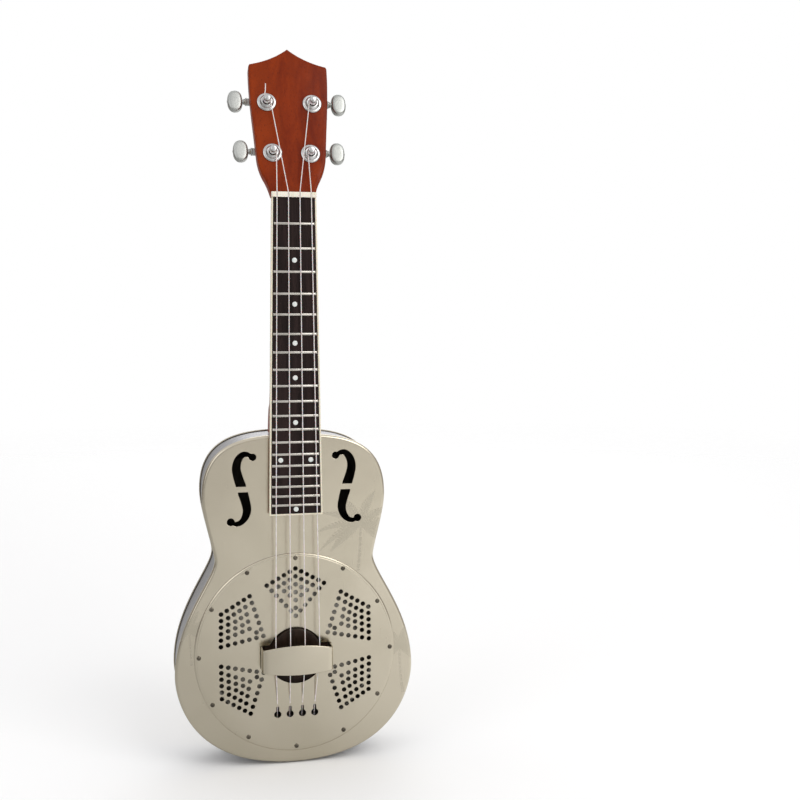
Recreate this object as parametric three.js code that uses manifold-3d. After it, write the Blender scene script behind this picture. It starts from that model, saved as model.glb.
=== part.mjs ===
// Concert resonator ukulele with a plated sheet-metal body, a biscuit cone and a one-piece wooden neck.
// Millimetres. The instrument stands upright: +Z runs along the neck to the head, the strings face -Y and
// +X is to the right as the player's audience sees it. The origin is at the middle of the neck just above
// the nut, where the yoke of a wall hanger takes the shoulders of the head.
import * as THREE from "three";
import { mergeVertices } from "three/addons/utils/BufferGeometryUtils.js";
import Module from "manifold-3d";

const wasm = await Module();
wasm.setup();

// ---------- driving dimensions ----------
const GAP = 0.3; // clearance between neighbouring pieces
const SHEET = 1; // thickness of the body's sheet metal

const NUT_Z = -9; // the nut's edge on the fingerboard
const BOARD_Y = -10; // playing surface of the fingerboard
const SCALE_LENGTH = 380;
const FRET_COUNT = 19;
const BOARD_THICKNESS = 5;
const BOARD_PAST_LAST_FRET = 8.5;
const NUT_WIDTH = 36.7;
const BOARD_END_WIDTH = 44.3;
const BINDING_WIDTH = 1.6;
const NUT_THICKNESS = 4.2;
const NUT_RISE = 1.7; // above the playing surface

const FRET = { crownHeight: 1, crownWidth: 2.2, tangWidth: 0.6, tangDepth: 1.8 };

const STRING_RADIUS = 0.35;
const STRING_SPACING = { nut: 9.33, saddle: 12.3, tail: 10.5 };
const STRING_RISE_AT_NUT = 1.2;
const STRING_RISE_AT_SADDLE = 5.7;

const FRONT_Y = BOARD_Y + 9.8; // face of the front plate
const BODY_DEPTH = 54.6;
const BACK_Y = FRONT_Y + BODY_DEPTH; // rim of the back plate
const ROLL_RADIUS = 2.4; // rolled edge between a plate and its skirt
const SKIRT = 5;

// Body outline: how far each level lies below the nut, half its width there, and the curves' handles.
const BODY = {
  top: 195, topHandle: 40,
  upper: 247, upperHalf: 77, aboveUpper: 48, belowUpper: 16,
  waist: 300, waistHalf: 67, aboveWaist: 8, belowWaist: 15,
  lower: 397, lowerHalf: 100.8, aboveLower: 47, belowLower: 9,
  bottom: 476, bottomHandle: 96,
};
const OUTLINE_STEPS = 8;

const BACK_PANEL = { rise: 3.5, rimWidth: 15, slopeWidth: 7 };

const CONE_Z = NUT_Z - SCALE_LENGTH - 0.4;
const COVER = { radius: 85, thickness: 1.2, face: BOARD_Y + 8.3, screwCircle: 81, screwHole: 1.3, screws: 12 };
const COVER_OPENING = { radius: 24, below: 2.5, notchHalfWidth: 30.2, notchHalfHeight: 9.8 };
const KEYHOLE = { below: 52.7, radius: 3, slotHalf: 1.2, slotLength: 4 };
const HAND_REST = {
  halfWidth: 29.8, stand: 18.3, middle: 25, end: 19, neckwards: 0.62, corner: 5, footLength: 6, thickness: 1.2,
};
const WELL = { radius: 75, depth: 23, ledge: 9, flange: 79.5 };
const CONE = { rimRadius: 74, topRadius: 17, height: 21, sheet: 0.6 };
const BISCUIT = { radius: 20, thickness: 8 };
const SADDLE = { width: 50, thickness: 2.6, footHalf: 18.5, slotDepth: 4 };

const HEAD_TILT = THREE.MathUtils.degToRad(17);
const HEAD_FACE_Y = BOARD_Y + 3.3; // face of the head where it passes the nut's edge
const HEAD_THICKNESS = 12;
const HEAD = { apex: 133.7, corner: 118.3, cornerHalf: 32.7, shoulder: 29, shoulderHalf: 28.5 };

const NECK_DEPTH_AT_NUT = 12.5; // wood behind the fingerboard
const NECK_DEPTH_AT_HEEL = 15;
const HEEL = { start: 148, capTip: 172, capHalf: 11, capInset: 3.5 };
const NECK_STICK = { half: 10, front: 28 };

const TUNERS = [
  { string: 1, side: 1, x: 15.7, along: 38.9 },
  { string: 2, side: 1, x: 19, along: 83.9 },
  { string: 3, side: -1, x: 19, along: 83.9 },
  { string: 4, side: -1, x: 15.7, along: 38.9 },
];
const POST = { radius: 3, stand: 10, tenonRadius: 2 };
const BUSH = { radius: 4.1, flangeRadius: 8, flange: 1.1, domeRadius: 5.7, dome: 3.4, depth: 9 };
const WRAP_HEIGHT = 5.2; // where a string meets its post, above the head's face

const GEAR = { teeth: 14, pitchRadius: 5.3, addendum: 0.55, dedendum: 0.85, thickness: 3 };
const WORM = { offset: 7.6, radius: 1.45, threadRise: 1.4, turns: 2.6, depth: 15.6, length: 11 };
const WORM_PITCH = (2 * Math.PI * GEAR.pitchRadius) / GEAR.teeth;
const TOOTH_SLACK = 0.4; // total play between the worm's thread and the gear's teeth
const HOUSING = { half: 6.9, wall: 0.75, height: 7.8, top: 11.5, barrelRadius: 3.2, barrelEnd: 16.4 };
const SHAFT_RADIUS = 1.6;
const KNOB = { centre: 24.8, halfWidth: 6.2, halfHeight: 9.1, thickness: 6.4, collarRadius: 2.3 };

// ---------- materials ----------
const finish = (color, roughness, metalness) => new THREE.MeshStandardMaterial({ color, roughness, metalness });
const nickel = () => finish(0xb8b2a2, 0.22, 1);
const brushedNickel = () => finish(0x86868a, 0.42, 1);
const chrome = () => finish(0xc9c9c6, 0.18, 1);
const satinChrome = () => finish(0xa9aca6, 0.4, 0.9);
const spunAluminium = () => finish(0xc4c6c8, 0.35, 1);
const brass = () => finish(0xb08a4a, 0.3, 1);
const nickelSilver = () => finish(0xcfc8bb, 0.25, 1);
const mahogany = () => finish(0x8f2f0c, 0.35, 0);
const rosewood = () => finish(0x2a1c1c, 0.5, 0);
const maple = () => finish(0x3a2418, 0.55, 0);
const bone = () => finish(0xebe4d2, 0.4, 0);
const nylon = () => finish(0xe6dcd6, 0.35, 0);

const instrument = new THREE.Group();

function add(name, geometry, material, parent = instrument) {
  const mesh = new THREE.Mesh(geometry, material);
  mesh.name = name;
  parent.add(mesh);
  return mesh;
}

// ---------- geometry helpers ----------
function signedVolume(geometry) {
  const point = geometry.getAttribute("position");
  const index = geometry.index.array;
  const [a, b, c] = [new THREE.Vector3(), new THREE.Vector3(), new THREE.Vector3()];
  let sum = 0;
  for (let i = 0; i < index.length; i += 3) {
    a.fromBufferAttribute(point, index[i]);
    b.fromBufferAttribute(point, index[i + 1]);
    c.fromBufferAttribute(point, index[i + 2]);
    sum += a.dot(b.cross(c));
  }
  return sum / 6;
}

// A copy with shared vertices merged and its faces turned outwards.
function closed(geometry) {
  const bare = geometry.clone();
  bare.deleteAttribute("normal");
  bare.deleteAttribute("uv");
  const merged = mergeVertices(bare, 1e-4);
  if (signedVolume(merged) < 0) {
    const index = merged.index.array;
    for (let i = 0; i < index.length; i += 3) {
      [index[i + 1], index[i + 2]] = [index[i + 2], index[i + 1]];
    }
  }
  merged.computeVertexNormals();
  return merged;
}

function toSolid(geometry) {
  const body = closed(geometry);
  const vertProperties = new Float32Array(body.getAttribute("position").array);
  const triVerts = new Uint32Array(body.index.array);
  return new wasm.Manifold(new wasm.Mesh({ numProp: 3, vertProperties, triVerts }));
}

function toGeometry(solid) {
  const mesh = solid.getMesh();
  const geometry = new THREE.BufferGeometry();
  geometry.setAttribute("position", new THREE.BufferAttribute(new Float32Array(mesh.vertProperties), 3));
  geometry.setIndex(new THREE.BufferAttribute(new Uint32Array(mesh.triVerts), 1));
  geometry.computeVertexNormals();
  return geometry;
}

function joined(...pieces) {
  return pieces.map(toSolid).reduce((sum, solid) => sum.add(solid));
}

function box(x0, x1, y0, y1, z0, z1) {
  const geometry = new THREE.BoxGeometry(x1 - x0, y1 - y0, z1 - z0);
  return geometry.translate((x0 + x1) / 2, (y0 + y1) / 2, (z0 + z1) / 2);
}

// A flat plate: an outline in X and Z, with holes, from y0 back to y1.
function plate(outline, y0, y1, holes = []) {
  const anticlockwise = THREE.ShapeUtils.isClockWise(outline) ? [...outline].reverse() : outline;
  const shape = new THREE.Shape(anticlockwise);
  shape.holes = holes.map((hole) => new THREE.Path(hole));
  const geometry = new THREE.ExtrudeGeometry(shape, { depth: y1 - y0, bevelEnabled: false });
  return closed(geometry.rotateX(Math.PI / 2).translate(0, y1, 0));
}

// A turned piece about the Y axis through (x, z); each profile point is [radius, y].
function turned(profile, x, z, segments) {
  const points = profile.map(([radius, y]) => new THREE.Vector2(radius, y));
  return closed(new THREE.LatheGeometry(points, segments).translate(x, 0, z));
}

function rodAlongX(radius, x0, x1, y, z, segments) {
  const geometry = new THREE.CylinderGeometry(radius, radius, Math.abs(x1 - x0), segments);
  return geometry.rotateZ(Math.PI / 2).translate((x0 + x1) / 2, y, z);
}

// Skin over rings with equal numbers of points. Its ends are "flat" for rings square to Y or Z of any
// outline, "fan" for convex rings at any angle, or "none" where the last ring joins the first.
function loft(rings, ends) {
  const count = rings[0].length;
  const positions = rings.flat().flatMap((p) => [p.x, p.y, p.z]);
  const triangles = [];
  const bands = ends === "none" ? rings.length : rings.length - 1;
  for (let i = 0; i < bands; i++) {
    const here = i * count;
    const next = ((i + 1) % rings.length) * count;
    for (let j = 0; j < count; j++) {
      const k = (j + 1) % count;
      triangles.push(here + j, here + k, next + k, here + j, next + k, next + j);
    }
  }
  if (ends !== "none") {
    const cap = ends === "flat" ? flatCap : fanCap;
    triangles.push(...cap(rings[0], 0).reverse(), ...cap(rings.at(-1), count * (rings.length - 1)));
  }
  const geometry = new THREE.BufferGeometry();
  geometry.setAttribute("position", new THREE.Float32BufferAttribute(positions, 3));
  geometry.setIndex(triangles);
  return closed(geometry);
}

function fanCap(ring, first) {
  return ring.slice(2).flatMap((_, i) => [first, first + i + 1, first + i + 2]);
}

function flatCap(ring, first) {
  const squareToY = ring.every((p) => Math.abs(p.y - ring[0].y) < 1e-6);
  const flat = ring.map((p) => new THREE.Vector2(p.x, squareToY ? p.z : p.y));
  const clockwise = THREE.ShapeUtils.isClockWise(flat);
  return THREE.ShapeUtils.triangulateShape(flat, []).flatMap(([a, b, c]) => {
    const [p, q, r] = [flat[a], flat[b], flat[c]];
    const turn = (q.x - p.x) * (r.y - p.y) - (q.y - p.y) * (r.x - p.x);
    return turn < 0 === clockwise ? [first + a, first + b, first + c] : [first + a, first + c, first + b];
  });
}

function circle(radius, x, z, segments) {
  return Array.from({ length: segments }, (_, i) => {
    const turn = (2 * Math.PI * i) / segments;
    return new THREE.Vector2(x + radius * Math.cos(turn), z + radius * Math.sin(turn));
  });
}

// ---------- body ----------
// The closed body outline in X and Z, moved inwards by the inset.
function bodyOutline(inset = 0) {
  const level = (down) => NUT_Z - down;
  const half = new THREE.Path();
  half.moveTo(0, level(BODY.top));
  half.bezierCurveTo(
    BODY.topHandle, level(BODY.top), BODY.upperHalf, level(BODY.upper - BODY.aboveUpper),
    BODY.upperHalf, level(BODY.upper));
  half.bezierCurveTo(
    BODY.upperHalf, level(BODY.upper + BODY.belowUpper), BODY.waistHalf, level(BODY.waist - BODY.aboveWaist),
    BODY.waistHalf, level(BODY.waist));
  half.bezierCurveTo(
    BODY.waistHalf, level(BODY.waist + BODY.belowWaist), BODY.lowerHalf, level(BODY.lower - BODY.aboveLower),
    BODY.lowerHalf, level(BODY.lower));
  half.bezierCurveTo(
    BODY.lowerHalf, level(BODY.lower + BODY.belowLower), BODY.bottomHandle, level(BODY.bottom),
    0, level(BODY.bottom));
  const right = half.getPoints(OUTLINE_STEPS);
  const left = right.slice(1, -1).reverse().map((p) => new THREE.Vector2(-p.x, p.y));
  return insetLoop([...right, ...left], inset);
}

// Moves each point of a clockwise loop inwards, square to the loop there.
function insetLoop(loop, inset) {
  return loop.map((point, i) => {
    const before = loop.at(i - 1);
    const after = loop[(i + 1) % loop.length];
    const along = after.clone().sub(before).normalize();
    return new THREE.Vector2(point.x + along.y * inset, point.y - along.x * inset);
  });
}

function ringAt(inset, y) {
  return bodyOutline(inset).map((p) => new THREE.Vector3(p.x, y, p.y));
}

// The rolled edge and skirt of a plate; inwards is +1 on the front plate and -1 on the back plate.
function rolledEdge(face, inwards) {
  const middle = ROLL_RADIUS * (1 - Math.SQRT1_2);
  const section = [
    [ROLL_RADIUS, 0], [middle, middle], [0, ROLL_RADIUS], [0, SKIRT],
    [SHEET, SKIRT], [SHEET, SHEET], [ROLL_RADIUS, SHEET],
  ];
  return loft(section.map(([inset, y]) => ringAt(inset, face + inwards * y)), "none");
}

// Half of a sound hole as a band: stations are [x, distance below the nut, half width] down its middle.
const SOUND_HOLE = [
  [
    [34.2, 213.4, 1.6], [35.2, 212.4, 2.4], [38.4, 210.2, 1.8], [43.2, 211.8, 2.5], [47, 216.4, 3.2],
    [48.4, 223, 3.4], [46.5, 230.6, 3.6], [44.3, 238, 4],
  ],
  [
    [43.3, 242.8, 4], [41.3, 250, 3.6], [39.7, 257.4, 3.3], [41.3, 264, 2.8], [45.1, 267.8, 2.2],
    [49.3, 269, 1.8], [53, 268.2, 3.2], [54.8, 267.6, 1.6],
  ],
];

function bandOutline(stations, side) {
  const points = stations.map(([x, below]) => new THREE.Vector2(x * side, NUT_Z - below));
  const edges = points.map((point, i) => {
    const before = points[Math.max(i - 1, 0)];
    const after = points[Math.min(i + 1, points.length - 1)];
    const across = after.clone().sub(before).normalize().multiplyScalar(stations[i][2]);
    return [
      new THREE.Vector2(point.x - across.y, point.y + across.x),
      new THREE.Vector2(point.x + across.y, point.y - across.x),
    ];
  });
  return [...edges.map(([left]) => left), ...edges.map(([, right]) => right).reverse()];
}

function frontPlate() {
  const soundHoles = [-1, 1].flatMap((side) => SOUND_HOLE.map((half) => bandOutline(half, side)));
  const well = circle(WELL.radius + 1, 0, CONE_Z, 40);
  const flat = plate(bodyOutline(ROLL_RADIUS - 0.4), FRONT_Y, FRONT_Y + SHEET, [well, ...soundHoles]);
  return toGeometry(joined(flat, rolledEdge(FRONT_Y, 1)));
}

// The back plate has a flat rim and a slope up to a raised flat panel.
function backPlate() {
  const raised = BACK_Y + BACK_PANEL.rise;
  const slopeFoot = BACK_PANEL.rimWidth;
  const slopeTop = slopeFoot + BACK_PANEL.slopeWidth;
  const edge = ROLL_RADIUS - 0.4;
  const panel = loft([
    ringAt(slopeTop, raised), ringAt(slopeFoot, BACK_Y), ringAt(edge, BACK_Y),
    ringAt(edge, BACK_Y - SHEET), ringAt(slopeFoot + GAP, BACK_Y - SHEET), ringAt(slopeTop + GAP, raised - SHEET),
  ], "flat");
  return toGeometry(joined(panel, rolledEdge(BACK_Y, -1)));
}

function sideBand() {
  const outside = SHEET + GAP;
  const band = plate(
    bodyOutline(outside), FRONT_Y + SHEET + GAP, BACK_Y - SHEET - GAP, [bodyOutline(outside + SHEET)]);
  const clear = NECK_STICK.half + GAP;
  const front = NECK_STICK.front - GAP;
  const top = NUT_Z - BODY.top;
  const stickHole = box(-clear, clear, front, front + 2 * clear, top - 6, top + 2);
  return toGeometry(toSolid(band).subtract(toSolid(stickHole)));
}

// ---------- resonator ----------
function coneWell() {
  const under = FRONT_Y + SHEET + GAP;
  const floor = FRONT_Y + WELL.depth;
  const inner = WELL.radius - WELL.ledge;
  return turned([
    [WELL.flange, under], [WELL.flange, under + SHEET], [WELL.radius + SHEET, under + SHEET],
    [WELL.radius + SHEET, floor + SHEET], [inner, floor + SHEET], [inner, floor], [WELL.radius, floor],
    [WELL.radius, under], [WELL.flange, under],
  ], 0, CONE_Z, 40);
}

// Spun cone: a flat rim on the well's ledge, a curved wall and a flat top that carries the biscuit.
function resonatorCone() {
  const rimY = FRONT_Y + WELL.depth - GAP;
  const wall = [[CONE.rimRadius, 0], [70, 0], [58, -7], [40, -14.5], [25, -19.4], [CONE.topRadius, -CONE.height]];
  const outside = wall.map(([r, y]) => [r, rimY + y - CONE.sheet]);
  const inside = wall.map(([r, y]) => [r, rimY + y]).reverse();
  return turned([[0, rimY - CONE.height - CONE.sheet], ...outside.reverse(), ...inside.reverse(),
    [0, rimY - CONE.height]], 0, CONE_Z, 36);
}

const BISCUIT_BACK = FRONT_Y + WELL.depth - CONE.height - CONE.sheet - 2 * GAP;
const BISCUIT_FRONT = BISCUIT_BACK - BISCUIT.thickness;
const SADDLE_TOP = BOARD_Y - STRING_RISE_AT_SADDLE + STRING_RADIUS + GAP;

// Maple disc slotted for the saddle.
function biscuit() {
  const disc = turned([
    [0, BISCUIT_FRONT], [BISCUIT.radius - 1.5, BISCUIT_FRONT], [BISCUIT.radius, BISCUIT_FRONT + 1.5],
    [BISCUIT.radius, BISCUIT_BACK], [0, BISCUIT_BACK],
  ], 0, CONE_Z, 24);
  const half = SADDLE.thickness / 2 + GAP;
  const slot = box(
    -SADDLE.width, SADDLE.width, BISCUIT_FRONT - 1, BISCUIT_FRONT + SADDLE.slotDepth,
    CONE_Z - half, CONE_Z + half);
  return toGeometry(toSolid(disc).subtract(toSolid(slot)));
}

function saddle() {
  const half = SADDLE.width / 2;
  const foot = SADDLE.footHalf;
  const seat = BISCUIT_FRONT + SADDLE.slotDepth - GAP;
  const wing = BISCUIT_FRONT - 1.5;
  const outline = [
    [-foot, seat], [foot, seat], [foot, wing], [half, wing], [half - 2, SADDLE_TOP], [2 - half, SADDLE_TOP],
    [-half, wing], [-foot, wing],
  ].map(([x, y]) => new THREE.Vector2(x, y));
  const blade = new THREE.ExtrudeGeometry(new THREE.Shape(outline), {
    depth: SADDLE.thickness, bevelEnabled: false,
  });
  return closed(blade.translate(0, 0, CONE_Z - SADDLE.thickness / 2));
}

// The big round opening under the hand rest, with a notch to each side for its legs.
function coverOpening() {
  const { radius, below, notchHalfWidth, notchHalfHeight } = COVER_OPENING;
  const start = Math.asin(notchHalfHeight / radius);
  const arcSteps = 14;
  const half = Array.from({ length: arcSteps + 1 }, (_, i) => {
    const turn = start + ((Math.PI - 2 * start) * i) / arcSteps;
    return [radius * Math.cos(turn), radius * Math.sin(turn)];
  });
  const upper = [[notchHalfWidth, notchHalfHeight], ...half, [-notchHalfWidth, notchHalfHeight]];
  const lower = upper.map(([x, z]) => [-x, -z]);
  return [...upper, ...lower].map(([x, z]) => new THREE.Vector2(x, CONE_Z - below + z));
}

// A round hole with a narrow slot towards the neck, where a string's knot is caught.
function keyhole(x) {
  const { below, radius, slotHalf, slotLength } = KEYHOLE;
  const start = Math.PI / 2 - Math.asin(slotHalf / radius);
  const steps = 12;
  const points = Array.from({ length: steps + 1 }, (_, i) => {
    const turn = start - ((2 * Math.PI - (Math.PI - 2 * start)) * i) / steps;
    return [radius * Math.cos(turn), radius * Math.sin(turn)];
  });
  points.push([-slotHalf, radius + slotLength], [slotHalf, radius + slotLength]);
  return points.map(([px, pz]) => new THREE.Vector2(x + px, CONE_Z - below + pz));
}

function stringX(index, spacing) {
  return (1.5 - index) * spacing;
}

function coverPlate() {
  const screwHoles = Array.from({ length: COVER.screws }, (_, i) => {
    const turn = (2 * Math.PI * i) / COVER.screws;
    const x = COVER.screwCircle * Math.cos(turn);
    return circle(COVER.screwHole, x, CONE_Z + COVER.screwCircle * Math.sin(turn), 8);
  });
  const keyholes = [0, 1, 2, 3].map((i) => keyhole(stringX(i, STRING_SPACING.tail)));
  return plate(
    circle(COVER.radius, 0, CONE_Z, 64), COVER.face, COVER.face + COVER.thickness,
    [coverOpening(), ...keyholes, ...screwHoles]);
}

// A bent strap that keeps the player's hand off the saddle; its feet turn out under the cover plate.
function handRest() {
  const { halfWidth, stand, corner, footLength, thickness, middle, end } = HAND_REST;
  const top = COVER.face - stand;
  const foot = COVER.face + COVER.thickness + GAP + thickness;
  const outer = [];
  for (const turn of [0, 0.25, 0.5]) {
    const angle = turn * Math.PI;
    outer.push([halfWidth - corner + corner * Math.cos(angle), top + 1.5 + corner - corner * Math.sin(angle)]);
  }
  outer.push([12, top + 0.4], [0, top]);
  const inner = outer.map(([x, y], i) => [i < 3 ? x - thickness * Math.cos(i * Math.PI / 4) : x,
    i < 3 ? y + thickness * Math.sin(i * Math.PI / 4) : y + thickness]);
  const right = [
    [halfWidth + footLength, foot], [halfWidth + footLength, foot - thickness], [halfWidth, foot - thickness],
    ...outer,
  ];
  const rightInside = [[halfWidth - thickness, foot], ...inner];
  const mirrored = (points) => points.slice(0, -1).reverse().map(([x, y]) => [-x, y]);
  const section = [...right, ...mirrored(right), ...mirrored(rightInside).reverse(), inner.at(-1),
    ...rightInside.slice(0, -1).reverse()];
  const strap = new THREE.ExtrudeGeometry(
    new THREE.Shape(section.map(([x, y]) => new THREE.Vector2(x, y))),
    { depth: 2 * middle, bevelEnabled: false });
  strap.translate(0, 0, CONE_Z - middle);

  // Seen from the front the strap bulges towards the neck, and a little towards the tail.
  const steps = 6;
  const reach = halfWidth + footLength + 1;
  const bulge = middle - end;
  const edge = (share) => {
    const points = [];
    for (let i = -steps; i <= steps; i++) {
      const across = i / steps;
      points.push([across * halfWidth, end / 2 + share * bulge * (1 - across ** 2)]);
    }
    return [[-reach, end / 2], ...points, [reach, end / 2]];
  };
  const lowerEdge = edge(1 - HAND_REST.neckwards).reverse().map(([x, z]) => [x, -z]);
  const middleZ = CONE_Z - COVER_OPENING.below;
  const outline = [...edge(HAND_REST.neckwards), ...lowerEdge].map(([x, z]) => new THREE.Vector2(x, middleZ + z));
  return toGeometry(toSolid(strap).intersect(toSolid(plate(outline, top - 1, foot + 1))));
}

// ---------- neck and fingerboard ----------
function fretZ(number) {
  return NUT_Z - SCALE_LENGTH * (1 - 2 ** (-number / 12));
}

const BOARD_END_Z = fretZ(FRET_COUNT) - BOARD_PAST_LAST_FRET;

function boardHalfWidth(z) {
  const along = (NUT_Z - z) / (NUT_Z - BOARD_END_Z);
  return (NUT_WIDTH + (BOARD_END_WIDTH - NUT_WIDTH) * along) / 2;
}

function taperedOutline(inset, topZ, endZ) {
  const top = boardHalfWidth(topZ) - inset;
  const end = boardHalfWidth(endZ) - inset;
  return [[-top, topZ], [top, topZ], [end, endZ], [-end, endZ]].map(([x, z]) => new THREE.Vector2(x, z));
}

// The board's side profile has a slot for each fret's tang; its plan tapers towards the nut.
function fingerboard() {
  const topZ = NUT_Z - GAP;
  const endZ = BOARD_END_Z + BINDING_WIDTH;
  const half = FRET.tangWidth / 2 + GAP;
  const depth = FRET.tangDepth + GAP;
  const profile = [[topZ, BOARD_Y + BOARD_THICKNESS], [topZ, BOARD_Y]];
  for (let number = 1; number <= FRET_COUNT; number++) {
    const z = fretZ(number);
    profile.push([z + half, BOARD_Y], [z + half, BOARD_Y + depth], [z - half, BOARD_Y + depth], [z - half, BOARD_Y]);
  }
  profile.push([endZ, BOARD_Y], [endZ, BOARD_Y + BOARD_THICKNESS]);
  const side = new THREE.Shape(profile.map(([z, y]) => new THREE.Vector2(z, y)));
  const blank = new THREE.ExtrudeGeometry(side, { depth: BOARD_END_WIDTH, bevelEnabled: false });
  blank.applyMatrix4(new THREE.Matrix4().set(0, 0, 1, -BOARD_END_WIDTH / 2, 0, 1, 0, 0, 1, 0, 0, 0, 0, 0, 0, 1));
  const plan = plate(taperedOutline(BINDING_WIDTH, topZ + 1, endZ - 1), BOARD_Y - 1, BOARD_Y + BOARD_THICKNESS + 1);
  return toGeometry(toSolid(blank).intersect(toSolid(plan)));
}

function binding() {
  const outer = plate(taperedOutline(0, NUT_Z - GAP, BOARD_END_Z), BOARD_Y, BOARD_Y + BOARD_THICKNESS);
  const inner = plate(
    taperedOutline(BINDING_WIDTH - GAP, NUT_Z + 1, BOARD_END_Z + BINDING_WIDTH - GAP),
    BOARD_Y - 1, BOARD_Y + BOARD_THICKNESS + 1);
  return toGeometry(toSolid(outer).subtract(toSolid(inner)));
}

// A fret is a domed crown on a thin tang.
function fret(number) {
  const z = fretZ(number);
  const foot = BOARD_Y - 0.05;
  const crown = FRET.crownWidth / 2;
  const tang = FRET.tangWidth / 2;
  const profile = [
    [crown, foot], [crown * 0.6, foot - FRET.crownHeight * 0.8], [0, foot - FRET.crownHeight],
    [-crown * 0.6, foot - FRET.crownHeight * 0.8], [-crown, foot], [-tang, foot], [-tang, foot + FRET.tangDepth],
    [tang, foot + FRET.tangDepth], [tang, foot],
  ];
  const side = new THREE.Shape(profile.map(([dz, y]) => new THREE.Vector2(dz, y)));
  const width = 2 * (boardHalfWidth(z) - BINDING_WIDTH - GAP);
  const bar = new THREE.ExtrudeGeometry(side, { depth: width, bevelEnabled: false });
  bar.applyMatrix4(new THREE.Matrix4().set(0, 0, 1, -width / 2, 0, 1, 0, 0, 1, 0, 0, z, 0, 0, 0, 1));
  return closed(bar);
}

function nut() {
  const half = NUT_WIDTH / 2;
  const blank = box(-half, half, BOARD_Y - NUT_RISE, BOARD_Y + 3, NUT_Z, NUT_Z + NUT_THICKNESS);
  const slot = STRING_RADIUS + GAP;
  return toGeometry([0, 1, 2, 3].reduce((solid, i) => {
    const x = stringX(i, STRING_SPACING.nut);
    const cut = box(
      x - slot, x + slot, BOARD_Y - NUT_RISE - 1, BOARD_Y - STRING_RISE_AT_NUT + slot, NUT_Z - 1,
      NUT_Z + NUT_THICKNESS + 1);
    return solid.subtract(toSolid(cut));
  }, toSolid(blank)));
}

// One section of the neck: flat at the front, rounded sides, and a flat back of the given half width.
function neckSection(z, halfWidth, front, back, backHalf) {
  const steps = 7;
  const side = Array.from({ length: steps + 1 }, (_, i) => {
    const turn = (Math.PI / 2) * (i / steps);
    return [backHalf + (halfWidth - backHalf) * Math.cos(turn), front + (back - front) * Math.sin(turn)];
  });
  const ring = [[halfWidth, front - 0.02], ...side.slice(0, -1), [Math.max(backHalf, 0.4), back]];
  const left = [...ring].reverse().map(([x, y]) => [-x, y]);
  return [...ring, ...left].map(([x, y]) => new THREE.Vector3(x, y, z));
}

// The neck's shaft swells into a heel whose flat cap rises to a rounded point.
function neckShaft() {
  const front = BOARD_Y + BOARD_THICKNESS + GAP;
  const capBack = BACK_Y - HEEL.capInset;
  const depthAt = (down) => {
    return NECK_DEPTH_AT_NUT + ((NECK_DEPTH_AT_HEEL - NECK_DEPTH_AT_NUT) * down) / HEEL.start;
  };
  const rings = [];
  for (const down of [-2, 20, 60, 100, HEEL.start]) {
    rings.push(neckSection(NUT_Z - down, boardHalfWidth(NUT_Z - down), front, front + depthAt(Math.max(down, 0)), 0));
  }
  const shallow = front + NECK_DEPTH_AT_HEEL;
  for (const part of [0.4, 0.65, 0.82, 0.93, 0.985]) {
    const z = NUT_Z - HEEL.start - part * (HEEL.capTip - HEEL.start);
    const back = shallow + (capBack - shallow) * (1 - Math.sqrt(1 - part ** 2));
    rings.push(neckSection(z, boardHalfWidth(z), front, back, 0));
  }
  for (const part of [0.03, 0.15, 0.35, 0.65, 1, 1.35]) {
    const z = NUT_Z - HEEL.capTip - part * (BODY.top - HEEL.capTip);
    const backHalf = HEEL.capHalf * Math.sqrt(1 - (1 - Math.min(part, 1)) ** 2);
    rings.push(neckSection(z, boardHalfWidth(z), front, capBack, backHalf));
  }
  return loft(rings, "flat");
}

// The head's outline in its own plane: X across, and the distance from the nut.
function headOutline() {
  const right = new THREE.Path();
  right.moveTo(0, HEAD.apex);
  right.quadraticCurveTo(14, 122.5, HEAD.cornerHalf - 0.8, HEAD.corner + 0.4);
  right.quadraticCurveTo(HEAD.cornerHalf, HEAD.corner, HEAD.cornerHalf + 0.3, HEAD.corner - 2);
  right.quadraticCurveTo(33.4, 95, 30.3, 60);
  right.lineTo(HEAD.shoulderHalf, 36);
  right.quadraticCurveTo(27.6, HEAD.shoulder - 4, 23.8, 18);
  right.quadraticCurveTo(19.4, 9.5, NUT_WIDTH / 2, NUT_THICKNESS / 2);
  const points = right.getPoints(6).filter((p, i, all) => i === 0 || p.distanceTo(all[i - 1]) > 0.05);
  const left = points.slice(1).reverse().map((p) => new THREE.Vector2(-p.x, p.y));
  return [...points, ...left];
}

function onHead(geometry) {
  return geometry.rotateX(-HEAD_TILT).translate(0, HEAD_FACE_Y, NUT_Z);
}

function neck() {
  const head = onHead(plate(headOutline(), 0, HEAD_THICKNESS));
  const tongue = plate(
    taperedOutline(0.4, NUT_Z - BODY.top + 3, BOARD_END_Z + 0.8), BOARD_Y + BOARD_THICKNESS + GAP, FRONT_Y - GAP);
  const bodyClearance = plate(bodyOutline(-GAP), FRONT_Y - GAP, BACK_Y + 10);
  const seatAboveNut = box(
    -40, 40, BOARD_Y - 10, BOARD_Y + BOARD_THICKNESS + GAP, NUT_Z - 60, NUT_Z + NUT_THICKNESS + GAP);
  const { half, front } = NECK_STICK;
  const stick = box(-half, half, front, front + 2 * half, NUT_Z - BODY.bottom + 4, NUT_Z - BODY.top + 6);
  let solid = joined(neckShaft(), head, tongue).subtract(toSolid(bodyClearance)).subtract(toSolid(seatAboveNut));
  solid = solid.add(toSolid(stick));
  for (const { side, x, along } of TUNERS) {
    const hole = onHead(turned([
      [0, -2], [BUSH.radius + GAP, -2], [BUSH.radius + GAP, HEAD_THICKNESS + 2], [0, HEAD_THICKNESS + 2],
    ], side * x, along, 14));
    solid = solid.subtract(toSolid(hole));
  }
  return toGeometry(solid);
}

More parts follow.
